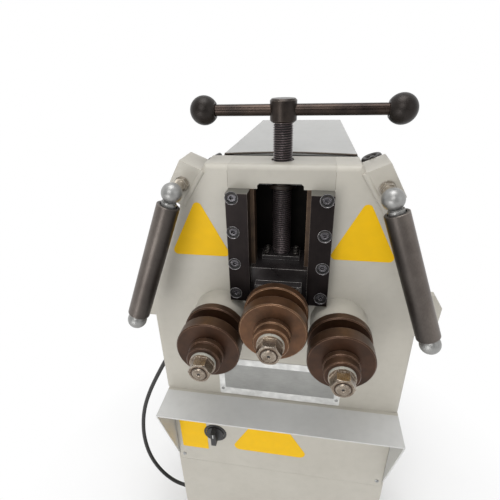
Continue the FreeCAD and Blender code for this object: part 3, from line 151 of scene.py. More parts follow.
def add_node(material, kind, settings=None, links=None):
    """Adds a shader node: settings name properties, inputs or a ramp's two stops, links name what feeds inputs."""
    tree = material.node_tree
    node = tree.nodes.new("ShaderNode" + kind)
    for key, value in (settings or {}).items():
        if key == "stops":
            for element, (position, colour) in zip(node.color_ramp.elements, value):
                element.position = position
                element.color = colour
        elif isinstance(key, str) and hasattr(node, key):
            setattr(node, key, value)
        else:
            node.inputs[key].default_value = value
    for key, output in (links or {}).items():
        tree.links.new(output, node.inputs[key])
    return node


def new_material(name):
    """An empty material and its output node."""
    material = bpy.data.materials.new(name)
    material.use_nodes = True
    material.node_tree.nodes.clear()
    return material, add_node(material, "OutputMaterial")


def grey(value):
    """A grey as a colour."""
    return (value, value, value, 1.0)


def shade(colour, amount):
    """A colour made darker or lighter."""
    return tuple(min(1.0, c * amount) for c in colour[:3]) + (1.0,)


def edge_mask(material, radius, low, high):
    """White along the edges of a shape, from how far a rounded normal leaves the true one."""
    rounded_off = add_node(material, "Bevel", {"samples": 6, "Radius": radius})
    true = add_node(material, "NewGeometry")
    dot = add_node(material, "VectorMath", {"operation": "DOT_PRODUCT"},
                   {0: rounded_off.outputs["Normal"], 1: true.outputs["Normal"]})
    return add_node(material, "ValToRGB", {"stops": [(1 - high, grey(1)), (1 - low, grey(0))]},
                    {"Fac": dot.outputs["Value"]}).outputs["Color"]


def facing_up(material, low, high):
    """A factor that is one where a surface looks up and zero where it stands upright or looks down."""
    true = add_node(material, "NewGeometry")
    parts = add_node(material, "SeparateXYZ", {}, {0: true.outputs["Normal"]})
    return add_node(material, "MapRange", {"From Min": low, "From Max": high},
                    {"Value": parts.outputs["Z"]}).outputs["Result"]


def cover(material, output, settings, links, height, strength, depth, rounding):
    """Ends a material in a shader with a relief of a depth and with edges rounded over a radius, in metres."""
    soft = add_node(material, "Bevel", {"samples": 4, "Radius": rounding})
    bump = add_node(material, "Bump", {"Strength": strength, "Distance": depth},
                    {"Height": height, "Normal": soft.outputs["Normal"]})
    shader = add_node(material, "BsdfPrincipled", settings, {**links, "Normal": bump.outputs["Normal"]})
    material.node_tree.links.new(shader.outputs["BSDF"], output.inputs["Surface"])
    return material


def coated(name, base, dark, roughness=0.42, grime=0.35, inside=None):
    """Sprayed and baked enamel on steel: even, faintly dimpled and a little grimy, with a painted highlight along its
    edges.

    Inside, a distance back and a height up in the row frame, is painted near black as shade behind the one and below
    the other.
    """
    material, output = new_material(name)
    place = add_node(material, "TexCoord").outputs["Object"]
    # Grime lies in patches about a hand wide, and smudges about a fingertip wide.
    patches = add_node(material, "TexNoise", {"Scale": 1 / 0.16, "Detail": 5.0, "Roughness": 0.62},
                       {"Vector": place}).outputs["Fac"]
    smudges = add_node(material, "TexNoise", {"Scale": 1 / 0.018, "Detail": 3.0, "Roughness": 0.5},
                       {"Vector": place}).outputs["Fac"]
    patch = add_node(material, "ValToRGB", {"stops": [(0.38, grey(0)), (0.72, grey(grime))]}, {"Fac": patches})
    tone = add_node(material, "Mix", {"data_type": "RGBA", 6: base, 7: linear(dark)},
                    {"Factor": patch.outputs["Color"]}).outputs[2]
    smudge = add_node(material, "ValToRGB", {"stops": [(0.45, grey(1.0)), (0.75, grey(0.955))]}, {"Fac": smudges})
    smeared = add_node(material, "Mix", {"data_type": "RGBA", "blend_type": "MULTIPLY", "Factor": 1.0},
                       {6: tone, 7: smudge.outputs["Color"]}).outputs[2]
    # The lighter colour along the edges is a painted highlight.
    colour = add_node(material, "Mix", {"data_type": "RGBA", 7: shade(base, 1.12)},
                      {"Factor": edge_mask(material, 0.0016, 0.01, 0.12), 6: smeared}).outputs[2]
    if inside:
        # What lies inside is painted near black, as shade.
        parts = add_node(material, "SeparateXYZ", {}, {0: place})
        behind = add_node(material, "Math", {"operation": "GREATER_THAN", 1: inside[0]}, {0: parts.outputs["Y"]})
        below = add_node(material, "Math", {"operation": "LESS_THAN", 1: inside[1]}, {0: parts.outputs["Z"]})
        hidden = add_node(material, "Math", {"operation": "MULTIPLY"}, {0: behind.outputs[0], 1: below.outputs[0]})
        colour = add_node(material, "Mix", {"data_type": "RGBA", 7: linear("#1D1916")},
                          {"Factor": hidden.outputs[0], 6: colour}).outputs[2]
    gloss = add_node(material, "MapRange", {"To Min": roughness - 0.05, "To Max": roughness + 0.1},
                     {"Value": patches}).outputs["Result"]
    # Spray dimples are about 1 mm apart and are drawn at 2.5 mm, so that they show.
    dimples = add_node(material, "TexNoise", {"Scale": 1 / 0.0025, "Detail": 1.0}, {"Vector": place})
    return cover(material, output, {"Metallic": 0.0, "IOR": 1.5, "Coat Weight": 0.12, "Coat Roughness": 0.25},
                 {"Base Color": colour, "Roughness": gloss}, dimples.outputs["Fac"], 0.05, 0.0004, 0.0011)


def worked_steel(name, base, dark, bright, roughness, metallic, blotch=0.03, wear=(0.02, 0.16), wear_gloss=0.3,
                 grain=0.0012, relief=0.08, edge=0.0014, axis=None, stretch=(1, 1, 1), dust=None, washer=None,
                 inner=None, faces=None):
    """Bare or blackened steel: blotched by oil and handling, bright where edges are rubbed.

    With an axis, a point across and up that a turned piece spins about, the tool marks run round it.
    With a dust colour, the surfaces that look up are covered in it.
    With a washer, a distance back in the row frame and a colour, what lies behind that distance has the colour.
    With an inner tone, what looks towards the middle of the machine is multiplied by it, as painted shade and
    reflection.
    With a faces tone, what looks forward is, as a tint with painted shade.
    """
    material, output = new_material(name)
    place = add_node(material, "TexCoord").outputs["Object"]
    parts = add_node(material, "SeparateXYZ", {}, {0: place}).outputs
    if axis is None:
        marks_at = add_node(material, "VectorMath", {"operation": "MULTIPLY", 1: stretch}, {0: place})
    else:
        moved = add_node(material, "VectorMath", {"operation": "SUBTRACT", 1: (axis[0], 0.0, axis[1])}, {0: place})
        flat = add_node(material, "VectorMath", {"operation": "MULTIPLY", 1: (1, 0, 1)},
                        {0: moved.outputs["Vector"]})
        reach = add_node(material, "VectorMath", {"operation": "LENGTH"}, {0: flat.outputs["Vector"]})
        marks_at = add_node(material, "CombineXYZ", {}, {0: reach.outputs["Value"], 1: parts["Y"]})
    # Blotches are as wide as drops and smears of oil. Tool marks are some tenths of a millimetre apart and are
    # drawn at about 1 mm, so that they show.
    blotches = add_node(material, "TexNoise", {"Scale": 1 / blotch, "Detail": 6.0, "Roughness": 0.6},
                        {"Vector": place}).outputs["Fac"]
    marks = add_node(material, "TexNoise", {"Scale": 1 / grain, "Detail": 3.0, "Roughness": 0.55},
                     {"Vector": marks_at.outputs["Vector"]}).outputs["Fac"]
    blotched = add_node(material, "ValToRGB", {"stops": [(0.32, linear(dark)), (0.68, linear(base))]},
                        {"Fac": blotches})
    streak = add_node(material, "ValToRGB", {"stops": [(0.3, grey(0.80)), (0.7, grey(1.0))]}, {"Fac": marks})
    streaked = add_node(material, "Mix", {"data_type": "RGBA", "blend_type": "MULTIPLY", "Factor": 1.0},
                        {6: blotched.outputs["Color"], 7: streak.outputs["Color"]}).outputs[2]
    # Edges are rubbed bright in patches and not all along.
    patchy = add_node(material, "MapRange", {"From Min": 0.3, "From Max": 0.6, "To Min": 0.35}, {"Value": blotches})
    rubbed = add_node(material, "Math", {"operation": "MULTIPLY"},
                      {0: edge_mask(material, edge, *wear), 1: patchy.outputs["Result"]}).outputs["Value"]
    surface = add_node(material, "Mix", {"data_type": "RGBA", 7: linear(bright)},
                       {"Factor": rubbed, 6: streaked}).outputs[2]
    shine = {}
    if washer:
        behind = add_node(material, "Math", {"operation": "GREATER_THAN", 1: washer[0]}, {0: parts["Y"]}).outputs[0]
        surface = add_node(material, "Mix", {"data_type": "RGBA", 7: linear(washer[1])},
                           {"Factor": behind, 6: surface}).outputs[2]
        duller = add_node(material, "Mix", {"A": metallic, "B": 0.3}, {"Factor": behind})
        shine["Metallic"] = duller.outputs["Result"]
    # Tones by the way a surface looks are painted: inward, the shade and dark reflection of the machine; forward, a
    # tint with painted shade.
    if inner or faces:
        side = add_node(material, "Math", {"operation": "SIGN"}, {0: parts["X"]})
        looks = add_node(material, "NewGeometry")
        facing = add_node(material, "SeparateXYZ", {}, {0: looks.outputs["Normal"]}).outputs
        away = add_node(material, "Math", {"operation": "MULTIPLY"}, {0: facing["X"], 1: side.outputs[0]})
        spread = add_node(material, "MapRange", {"From Min": -1.0},
                          {"Value": away.outputs[0] if inner else facing["Y"]})
        tone = add_node(material, "ValToRGB", {"stops": [(0.2, inner or faces), (0.75, grey(1.0))]},
                        {"Fac": spread.outputs["Result"]})
        surface = add_node(material, "Mix", {"data_type": "RGBA", "blend_type": "MULTIPLY", "Factor": 1.0},
                           {6: surface, 7: tone.outputs["Color"]}).outputs[2]
    if dust:
        surface = add_node(material, "Mix", {"data_type": "RGBA", 7: linear(dust)},
                           {"Factor": facing_up(material, 0.55, 1.1), 6: surface}).outputs[2]
    polish = add_node(material, "MapRange", {"To Min": roughness - 0.06, "To Max": roughness + 0.08},
                      {"Value": marks})
    gloss = add_node(material, "Mix", {"B": wear_gloss}, {"Factor": rubbed, "A": polish.outputs["Result"]})
    return cover(material, output, {"Metallic": metallic},
                 {"Base Color": surface, "Roughness": gloss.outputs["Result"], **shine},
                 marks, relief, 0.0005, 0.0006)


def moulded(name, base, roughness, grain=0.0008, relief=0.15, dusting=1.5, ior=1.5):
    """Moulded plastic or rubber: one colour with a fine matt grain and a little dust."""
    material, output = new_material(name)
    base = linear(base)
    place = add_node(material, "TexCoord").outputs["Object"]
    # Dust lies in patches about 20 mm wide. The mould's grain is finer than 0.5 mm and is drawn coarser, so that
    # it shows.
    dust = add_node(material, "TexNoise", {"Scale": 1 / 0.02, "Detail": 4.0}, {"Vector": place}).outputs["Fac"]
    tone = add_node(material, "ValToRGB", {"stops": [(0.4, base), (0.8, shade(base, dusting))]}, {"Fac": dust})
    pores = add_node(material, "TexNoise", {"Scale": 1 / grain, "Detail": 2.0}, {"Vector": place})
    gloss = add_node(material, "MapRange", {"To Min": roughness, "To Max": roughness + 0.15}, {"Value": dust})
    return cover(material, output, {"Metallic": 0.0, "IOR": ior},
                 {"Base Color": tone.outputs["Color"], "Roughness": gloss.outputs["Result"]},
                 pores.outputs["Fac"], relief, 0.0003, 0.0008)


# Metals: name, colour, darker blotches, rubbed edges, roughness, metallic, and what else sets each apart.
METALS = {
    # The carriage is slideway steel kept wet with oil, so it is black and glossy, with thin bright edges.
    "carriage_steel": ("wet_black_steel", "#383434", "#242121", "#B8B4B0", 0.24, 0.3,
                       {"wear": (0.01, 0.09), "edge": 0.001, "relief": 0.03}),
    # Painted shade: the back plate inside the hollow head is near black, as its hollow is seen through the slot.
    "casting_shade": ("oily_casting_inside", "#15120F", "#0B0A09", "#1E1A17", 0.6, 0.9, {}),
    # Slot liners: bronze strip, brown with old grease.
    "liner_bronze": ("greasy_bronze_strip", "#5C4A3A", "#3F3229", "#8A725C", 0.45, 0.6, {"stretch": (1, 1, 0.15)}),
    # Machined steel that has browned lightly, with hexagon faces still bright and duller, paler washers behind.
    "nut_steel": ("machined_nut_steel", "#A3988A", "#75675A", "#EADFD2", 0.27, 0.88,
                  {"blotch": 0.012, "wear": (0.01, 0.09), "wear_gloss": 0.2, "edge": 0.001,
                   "washer": (FRONT - 0.1526, "#B4B3A9")}),
    # The nuts' front faces are browned by handling.
    "nut_face_steel": ("browned_nut_faces", "#54453A", "#3C3129", "#B9A08A", 0.35, 0.8, {"blotch": 0.01}),
    # Guide roller studs and their washers: bright zinc, a little yellowed.
    "stud_steel": ("yellowed_zinc_studs", "#BDB5A8", "#8D8375", "#EFEBE3", 0.3, 0.6,
                   {"blotch": 0.008, "wear": (0.01, 0.09), "edge": 0.001, "relief": 0.03}),
    # Turned and polished steel balls, satin silver.
    "ball_steel": ("satin_ball_steel", "#A2A2A0", "#908F8D", "#B6B6B2", 0.38, 0.75,
                   {"blotch": 0.02, "grain": 0.0008, "relief": 0.05}),
    # Blackened hub of the screw, brown where hands polish it.
    "screw_steel": ("blackened_screw_steel", "#3D342E", "#251F1C", "#8A7E73", 0.32, 0.7,
                    {"blotch": 0.025, "relief": 0.04}),
    # The balls of the bar are the same steel, blacker.
    "knob_steel": ("blackened_ball_knobs", "#2C2622", "#1E1916", "#7E736A", 0.38, 0.6,
                   {"blotch": 0.03, "relief": 0.04}),
    # The bar is the same steel, brown and shiny where hands slide along it.
    "bar_steel": ("hand_polished_bar", "#4C3F37", "#28211E", "#A8998B", 0.26, 0.8, {"blotch": 0.06, "relief": 0.02}),
    # The thread's crests are rubbed by the nut.
    "thread_crest": ("rubbed_thread_crests", "#5C5052", "#463C3D", "#9A8E8C", 0.3, 0.7,
                     {"blotch": 0.03, "relief": 0}),
    # Guide roller tubes: dull grey steel, drawn and never polished, with painted shade and reflection darkening what
    # looks at the machine.
    "tube_steel": ("dull_tube_steel", "#766E68", "#645C57", "#A8A098", 0.36, 0.75,
                   {"blotch": 0.05, "wear": (0.01, 0.1), "stretch": (1, 1, 0.2), "relief": 0.03,
                    "inner": (0.35, 0.35, 0.35, 1.0)}),
    # Black oxide fasteners with bright rims where the key slips.
    "fastener_steel": ("black_oxide_fasteners", "#2E2A28", "#1D1A19", "#B8B2AA", 0.34, 0.75,
                       {"blotch": 0.01, "wear": (0.01, 0.08)}),
    # Cap screws of the rails: black oxide rubbed to grey.
    "cap_steel": ("rubbed_cap_screws", "#57555A", "#403E41", "#C8C4C4", 0.3, 0.7,
                  {"blotch": 0.01, "wear": (0.01, 0.08), "edge": 0.0008}),
    # Dull blind rivets.
    "rivet_steel": ("dull_rivets", "#B4B4B2", "#9A9A98", "#DADAD8", 0.4, 0.4, {}),
    # Bright zinc plated small screws.
    "zinc_steel": ("zinc_plated_screws", "#B9BABA", "#989A9B", "#DADBDB", 0.3, 0.9,
                   {"blotch": 0.008, "relief": 0.03}),
    # Ground gear and bearing steel under a film of oil.
    "gear_steel": ("oiled_gear_steel", "#8C8A86", "#66635F", "#B8B5B0", 0.3, 0.9, {"blotch": 0.02}),
    # Bronze of the screw's nut, darkened almost to black as painted shade where it sits in the relief.
    "nut_bronze": ("greased_bronze", "#2B2119", "#191411", "#4A3826", 0.45, 0.5, {"blotch": 0.02}),
    # Anodised aluminium plate, brushed along its length.
    "plate_aluminium": ("brushed_anodised_aluminium", "#A9A9A6", "#9C9C99", "#D6D8DA", 0.42, 0.35,
                        {"blotch": 0.05, "stretch": (0.04, 1, 1), "grain": 0.0007, "relief": 0.04}),
}

# Plastics, rubbers, greases and films: name, colour, roughness and what else sets each apart.
MOULDINGS = {
    # Painted shade, near black, in the thread's roots, the counterbores and the gaps and centre holes of the shaft
    # ends.
    "near_black_shade": ("black_grease", "#141212", 0.5, {"relief": 0.02}),
    # Lifting eyes: forged and dipped in black lacquer.
    "black_lacquer": ("black_lacquered_forging", "#211D1B", 0.3, {"grain": 0.0025, "relief": 0.1}),
    # Phenolic plastic of the switch and glands, black and half matt.
    "black_plastic": ("black_phenolic_plastic", "#201F1F", 0.34, {}),
    # Neoprene cable sheath, black and matt.
    "cable_rubber": ("neoprene_cable_sheath", "#1E1D1C", 0.42, {"grain": 0.001, "relief": 0.1}),
    # White printed pointer and plate border: hard paint film.
    "white_film": ("white_printed_film", "#C8C8C6", 0.4, {"relief": 0.03}),
    # A brown strip of painted shade along the gap between the head and the guard.
    "edging_rubber": ("brown_black_edging_rubber", "#4A4138", 0.6, {}),
    # Grime in the line where two painted pieces meet.
    "joint_dark": ("grime_in_joints", "#7A756B", 0.8, {}),
}


def make_materials():
    """Every finish of the machine, by the name of what it really is."""
    look = colours()
    body, sheet, rolls, slides = (tuple(c) for c in (look.body, look.sheet, look.rolls, look.slides))
    made = {key: worked_steel(*values, **more) for key, (*values, more) in METALS.items()}
    made.update((key, moulded(*values, **more)) for key, (*values, more) in MOULDINGS.items())
    # Baked enamel, warm light grey: satin, with grime in soft patches.
    made["body_enamel"] = coated("baked_enamel_warm_grey", body, "#9A9489")
    # The bridge has the same enamel, darker as painted shade; its underside and the relief over the screw are painted
    # near black as shade.
    made["bridge_enamel"] = coated("baked_enamel_with_painted_shade", shade(body, 0.86), "#9A9489",
                                   inside=(FRONT + 0.0015, DECK + 0.5165))
    # The same enamel on thin sheet, a cooler grey.
    made["sheet_enamel"] = coated("baked_enamel_neutral_grey", sheet, "#A4A4A2", grime=0.3)
    # The hood's enamel on the guard, darkened as painted shade.
    made["guard_enamel"] = coated("baked_enamel_grey_painted_shade", shade(sheet, 0.72), "#949492", grime=0.3)
    # Cast gearbox and motor in blue-grey machine enamel.
    made["motor_enamel"] = coated("blue_grey_motor_enamel", linear("#5B6672"), "#454E58", roughness=0.45)
    # Blued slideway steel under old oil: near black and brown, dusty on top, its corners rubbed bright.
    made["rail_steel"] = worked_steel("oiled_black_steel", slides, "#191414", "#6E6660", 0.34, 0.85,
                                      stretch=(1, 1, 0.12), grain=0.002, dust="#8C8B85")
    # Yellow self-adhesive vinyl, smooth and a little glossy.
    made["yellow_vinyl"] = moulded("yellow_sign_vinyl", tuple(look.sign), 0.45, grain=0.003, relief=0.03,
                                   dusting=1.06, ior=1.3)
    # The rolls' rims are tinted greyer and their faces browner, the lower ones more so; the lower rolls' faces are
    # also darkened as painted shade.
    upper_tones = ((0.95, 1.2, 1.45, 1.0), (1.1, 0.92, 0.72, 1.0))
    lower_tones_and_shade = ((1.0, 1.35, 1.7, 1.0), (0.46, 0.35, 0.29, 1.0))
    for name, across, up in ROLLS:
        tone, faces = upper_tones if name == "upper" else lower_tones_and_shade
        base, dark = (tuple(a * b for a, b in zip(colour, tone)) for colour in (rolls, linear("#4A3121")))
        # Hardened roll steel, browned all over, lathe marks running round, bright thin rims.
        made[name + "_roll"] = worked_steel(
            "browned_roll_steel_" + name, base, dark, "#CDB7A4", 0.38, 0.6, faces=faces, blotch=0.035,
            wear=(0.01, 0.085), wear_gloss=0.28, grain=0.0011, relief=0.14, edge=0.0013,
            axis=(across * MM, DECK + up * MM))
    return made


# Every finish by its key, filled in when the finishes are made.
MATERIALS = {}

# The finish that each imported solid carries.
CARRIED = {
    "body_enamel": ("base_plate", "column_shell", "control_panel", "rear_access_panel", "head_frame",
                    "left_bearing_housing", "right_bearing_housing", "left_arm_block", "right_arm_block",
                    "side_lugs"),
    "bridge_enamel": ("bridge_block",),
    "sheet_enamel": ("hood_shelf",),
    "guard_enamel": ("rear_guard",),
    "rail_steel": ("left_rail", "right_rail"),
    "carriage_steel": ("carriage_block", "retaining_plate"),
    # The back plate seen through the slot is painted shade.
    "casting_shade": ("head_back_plate",),
    "liner_bronze": ("rail_liners",),
    "nut_steel": ("upper_nut", "lower_left_nut", "lower_right_nut", "upper_shaft", "lower_left_shaft",
                  "lower_right_shaft"),
    "stud_steel": ("guide_studs",),
    "ball_steel": ("left_guide_balls", "right_guide_balls", "left_guide_axle", "right_guide_axle"),
    "screw_steel": ("screw_hub",),
    "knob_steel": ("ball_knobs",),
    "bar_steel": ("tommy_bar",),
    "tube_steel": ("left_guide_tube", "right_guide_tube"),
    "fastener_steel": ("rail_screws", "plate_screws"),
    "black_lacquer": ("lifting_eyes",),
    "gear_steel": ("lower_bearings", "upper_bearings", "lower_left_gear", "lower_right_gear", "drive_pinion"),
    "nut_bronze": ("pressure_nut",),
    "motor_enamel": ("gearbox", "gearmotor"),
    "black_plastic": ("switch_block", "cable_glands", "selector_knob"),
    "upper_roll": ("upper_front_disc", "upper_rear_disc", "upper_spacers"),
    "lower_left_roll": ("lower_left_front_disc", "lower_left_rear_disc", "lower_left_spacers"),
    "lower_right_roll": ("lower_right_front_disc", "lower_right_rear_disc", "lower_right_spacers"),
}


# ---------------------------------------------------------------- mesh building

def across_axes(axis):
    """Two unit vectors square to an axis and to each other."""
    side = axis.cross(UP if abs(axis.z) < 0.9 else RIGHT).normalized()
    return side, axis.cross(side).normalized()


def add_ring(bm, centre, radius, axes, count):
    """A ring of points about a centre, across two axes."""
    turns = [2 * math.pi * i / count for i in range(count)]
    return [bm.verts.new(centre + axes[0] * radius * math.cos(turn) + axes[1] * radius * math.sin(turn))
            for turn in turns]


def add_skin(bm, rows, closed=True):
    """Joins rows of as many points each with faces, and if closed also the last point of a row to its first."""
    faces = []
    for lower, upper in zip(rows, rows[1:]):
        for i in range(len(lower) if closed else len(lower) - 1):
            j = (i + 1) % len(lower)
            faces.append(bm.faces.new((lower[i], upper[i], upper[j], lower[j])))
    return faces


def add_lathe(bm, profile, origin, axis, segments=32):
    """Turns pairs of radius and distance along the axis into a surface, closed where the radius is zero."""
    axes = across_axes(axis)
    rings = [add_ring(bm, origin + axis * along, radius, axes, segments if radius else 1)
             for radius, along in profile]
    for lower, upper in zip(rings, rings[1:]):
        for i in range(segments):
            j = (i + 1) % segments
            if len(lower) == 1 and len(upper) == 1:
                continue
            if len(lower) == 1:
                bm.faces.new((lower[0], upper[i], upper[j]))
            elif len(upper) == 1:
                bm.faces.new((lower[i], upper[0], lower[j]))
            else:
                bm.faces.new((lower[i], upper[i], upper[j], lower[j]))


def add_prism(bm, outline, push):
    """A solid from a flat outline of points and the vector that it is pushed along."""
    low = [bm.verts.new(point) for point in outline]
    high = [bm.verts.new(point + push) for point in outline]
    bm.faces.new(low)
    bm.faces.new(list(reversed(high)))
    add_skin(bm, (low, high))


def add_box(bm, low, high):
    """A box between two corners."""
    outline = [Vector((x, y, low.z)) for x, y in ((low.x, low.y), (high.x, low.y), (high.x, high.y), (low.x, high.y))]
    add_prism(bm, outline, UP * (high.z - low.z))


def add_tube(bm, points, radii, sides=10):
    """A tube through points with a radius at each."""
    rings = []
    guide = None
    for i, point in enumerate(points):
        along = (points[min(i + 1, len(points) - 1)] - points[max(i - 1, 0)]).normalized()
        guide = across_axes(along)[0] if guide is None else (guide - along * guide.dot(along)).normalized()
        other = along.cross(guide)
        rings.append(add_ring(bm, point, radii[i], (guide, other), sides))
    add_skin(bm, rings)
    bm.faces.new(rings[0])
    bm.faces.new(list(reversed(rings[-1])))


def add_socket_screw(bm, seat, axis, radius, height, socket, dome=0.0):
    """A round screw head with a hexagon socket, standing on its seat, with a chamfered crown or with a dome."""
    axes = across_axes(axis)
    socket_radius = socket / math.sqrt(3)
    foot = add_ring(bm, seat, radius, axes, 28)
    shoulder = add_ring(bm, seat + axis * (height - (dome or radius * 0.12)), radius, axes, 28)
    crown = add_ring(bm, seat + axis * height, radius * (0.62 if dome else 0.88), axes, 28)
    rim = add_ring(bm, seat + axis * height, socket_radius, axes, 6)
    floor = add_ring(bm, seat + axis * (height * 0.45), socket_radius, axes, 6)
    add_skin(bm, (foot, shoulder))
    add_skin(bm, (shoulder, crown))
    add_skin(bm, (rim, floor))
    bm.faces.new(floor)
    edges = []
    for ring in (crown, rim):
        for i, point in enumerate(ring):
            following = ring[(i + 1) % len(ring)]
            edges.append(bm.edges.get((point, following)) or bm.edges.new((point, following)))
    bmesh.ops.bridge_loops(bm, edges=edges)
    bm.faces.new(list(reversed(foot)))


def rounded(corners, radius):
    """A convex outline with each corner rounded in six steps."""
    result = []
    steps = 6
    for i, corner in enumerate(corners):
        into = (corners[i - 1] - corner).normalized()
        out = (corners[(i + 1) % len(corners)] - corner).normalized()
        half = into.angle(out) / 2
        reach = radius / math.tan(half)
        centre = corner + (into + out).normalized() * (radius / math.sin(half))
        start = corner + into * reach - centre
        finish = corner + out * reach - centre
        result.extend(centre + start.lerp(finish, k / steps).normalized() * radius for k in range(steps + 1))
    return result


def put(name, bm, material, body, replaced=(), smooth=0.6, bevel=0.0, second=None):
    """Makes a piece of a mesh, gives it one or two finishes and lets it ride on a body."""
    bmesh.ops.remove_doubles(bm, verts=bm.verts, dist=1e-7)
    bmesh.ops.recalc_face_normals(bm, faces=bm.faces)
    mesh = bpy.data.meshes.new(name)
    bm.to_mesh(mesh)
    bm.free()
    piece = bpy.data.objects.new(name, mesh)
    bpy.context.scene.collection.objects.link(piece)
    mesh.materials.append(MATERIALS[material])
    if second:
        mesh.materials.append(MATERIALS[second])
    mesh.shade_smooth()
    mesh.set_sharp_from_angle(angle=smooth)
    if bevel:
        rounding = piece.modifiers.new("Rounded edges", "BEVEL")
        rounding.width = bevel
        rounding.segments = 2
        rounding.limit_method = "ANGLE"
        rounding.angle_limit = math.radians(35)
        rounding.harden_normals = True
    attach(piece, body)
    if replaced:
        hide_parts(*replaced)
    return piece


# ---------------------------------------------------------------- operators

class PieceOperator:
    """What the operators of this file share."""

    bl_options = {"REGISTER", "UNDO"}


class RINGROLLER_OT_stage(PieceOperator, bpy.types.Operator):
    """Adds the camera, the lamps, the world and the floor"""

    bl_idname = "ringroller.stage"
    bl_label = "Stage"

    def execute(self, context):
        scene = context.scene
        scene.view_settings.view_transform = "Standard"
        self.add_camera(scene)
        self.add_world(scene)
        self.add_floor(scene)
        aim = Vector((0, 0, 0.9))
        for name, place, width, power in (("key_lamp", (-0.5, -2.7, 2.8), 1.8, 29),
                                          ("low_lamp", (-1.1, -2.4, 0.6), 1.2, 14),
                                          ("right_lamp", (2.4, -1.8, 2.2), 2.0, 8),
                                          ("top_lamp", (-0.1, -0.3, 3.4), 1.6, 29)):
            data = bpy.data.lights.new(name, "AREA")
            data.shape = "DISK"
            data.size = width
            data.energy = power
            lamp = bpy.data.objects.new(name, data)
            lamp.location = place
            lamp.rotation_euler = (aim - Vector(place)).to_track_quat("-Z", "Y").to_euler()
            scene.collection.objects.link(lamp)
        return {"FINISHED"}

    @staticmethod
    def add_camera(scene):
        """A camera in front, a little to the right and above, looking down on the head."""
        yaw, pitch, roll = math.radians(-10.21), math.radians(26.797), math.radians(-1.672)
        forward = Vector((math.sin(yaw) * math.cos(pitch), math.cos(yaw) * math.cos(pitch), -math.sin(pitch)))
        right = Vector((math.cos(yaw), -math.sin(yaw), 0))
        down = forward.cross(right)
        turned_right = right * math.cos(roll) - down * math.sin(roll)
        turned_down = right * math.sin(roll) + down * math.cos(roll)
        data = bpy.data.cameras.new("camera")
        data.sensor_width = 36
        data.lens = sizes().lens
        data.clip_start = 0.05
        camera = bpy.data.objects.new("camera", data)
        camera.matrix_world = Matrix.Translation(spot(53.8, -608.6, 699.1)) @ Matrix(
            (turned_right, -turned_down, -forward)).transposed().to_4x4()
        scene.collection.objects.link(camera)
        scene.camera = camera

    @staticmethod
    def add_world(scene):
        """A soft white sky: plain white where it is seen and weaker where it lights.

        Mirrored, the studio is bright at both sides and overhead, and dim behind the camera.
        """
        world = bpy.data.worlds.new("studio")
        scene.world = world
        world.use_nodes = True
        world.node_tree.nodes.clear()
        rays = add_node(world, "LightPath")
        place = add_node(world, "TexCoord").outputs["Generated"]
        toward = add_node(world, "SeparateXYZ", {}, {0: place})
        studio = add_node(world, "MapRange", {"From Min": -0.9, "From Max": 0.1, "To Min": 0.2, "To Max": 1.0},
                          {"Value": toward.outputs["Y"]})
        straight = add_node(world, "Math", {"operation": "MAXIMUM"},
                            {0: rays.outputs["Is Camera Ray"], 1: rays.outputs["Is Transmission Ray"]})
        light = add_node(world, "Mix", {"A": 0.68},
                         {"Factor": rays.outputs["Is Glossy Ray"], "B": studio.outputs["Result"]})
        strength = add_node(world, "Mix", {"B": 1.0},
                            {"Factor": straight.outputs["Value"], "A": light.outputs["Result"]})
        sky = add_node(world, "Background", {"Color": grey(1)}, {"Strength": strength.outputs["Result"]})
        add_node(world, "OutputWorld", {}, {"Surface": sky.outputs[0]})

    @staticmethod
    def add_floor(scene):
        """A pale floor that keeps the machine's shadow and runs out into white."""
        bm = bmesh.new()
        half = 14.0
        bm.faces.new([bm.verts.new((x * half, y * half, 0)) for x, y in ((-1, -1), (1, -1), (1, 1), (-1, 1))])
        mesh = bpy.data.meshes.new("floor")
        bm.to_mesh(mesh)
        bm.free()
        floor = bpy.data.objects.new("floor", mesh)
        scene.collection.objects.link(floor)
        material, output = new_material("pale_studio_floor")
        place = add_node(material, "TexCoord").outputs["Object"]
        away = add_node(material, "VectorMath", {"operation": "LENGTH"}, {0: place})
        far = add_node(material, "MapRange", {"From Min": 0.42, "From Max": 0.95}, {0: away.outputs["Value"]})
        rays = add_node(material, "LightPath")
        seen = add_node(material, "Math", {"operation": "MAXIMUM"},
                        {0: rays.outputs["Is Camera Ray"], 1: rays.outputs["Is Glossy Ray"]})
        share = add_node(material, "Math", {"operation": "MULTIPLY"},
                         {0: far.outputs["Result"], 1: seen.outputs["Value"]})
        mottle = add_node(material, "TexNoise", {"Scale": 3.0, "Detail": 2.0}, {"Vector": place})
        pale = add_node(material, "ValToRGB", {"stops": [(0.3, grey(0.86)), (0.7, grey(0.90))]},
                        {"Fac": mottle.outputs["Fac"]})
        matt = add_node(material, "BsdfDiffuse", {}, {"Color": pale.outputs["Color"]})
        white = add_node(material, "Emission", {"Color": grey(1), "Strength": 1.0})
        mix = add_node(material, "MixShader", {},
                       {0: share.outputs["Value"], 1: matt.outputs[0], 2: white.outputs[0]})
        material.node_tree.links.new(mix.outputs[0], output.inputs["Surface"])
        mesh.materials.append(material)


class RINGROLLER_OT_finishes(PieceOperator, bpy.types.Operator):
    """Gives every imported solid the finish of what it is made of"""

    bl_idname = "ringroller.finishes"
    bl_label = "Finishes"

    def execute(self, context):
        MATERIALS.update(make_materials())
        for material, names in CARRIED.items():
            for name in names:
                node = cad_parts[name]
                for slot in node.material_slots:
                    slot.link = "OBJECT"
                    slot.material = MATERIALS[material]
        return {"FINISHED"}


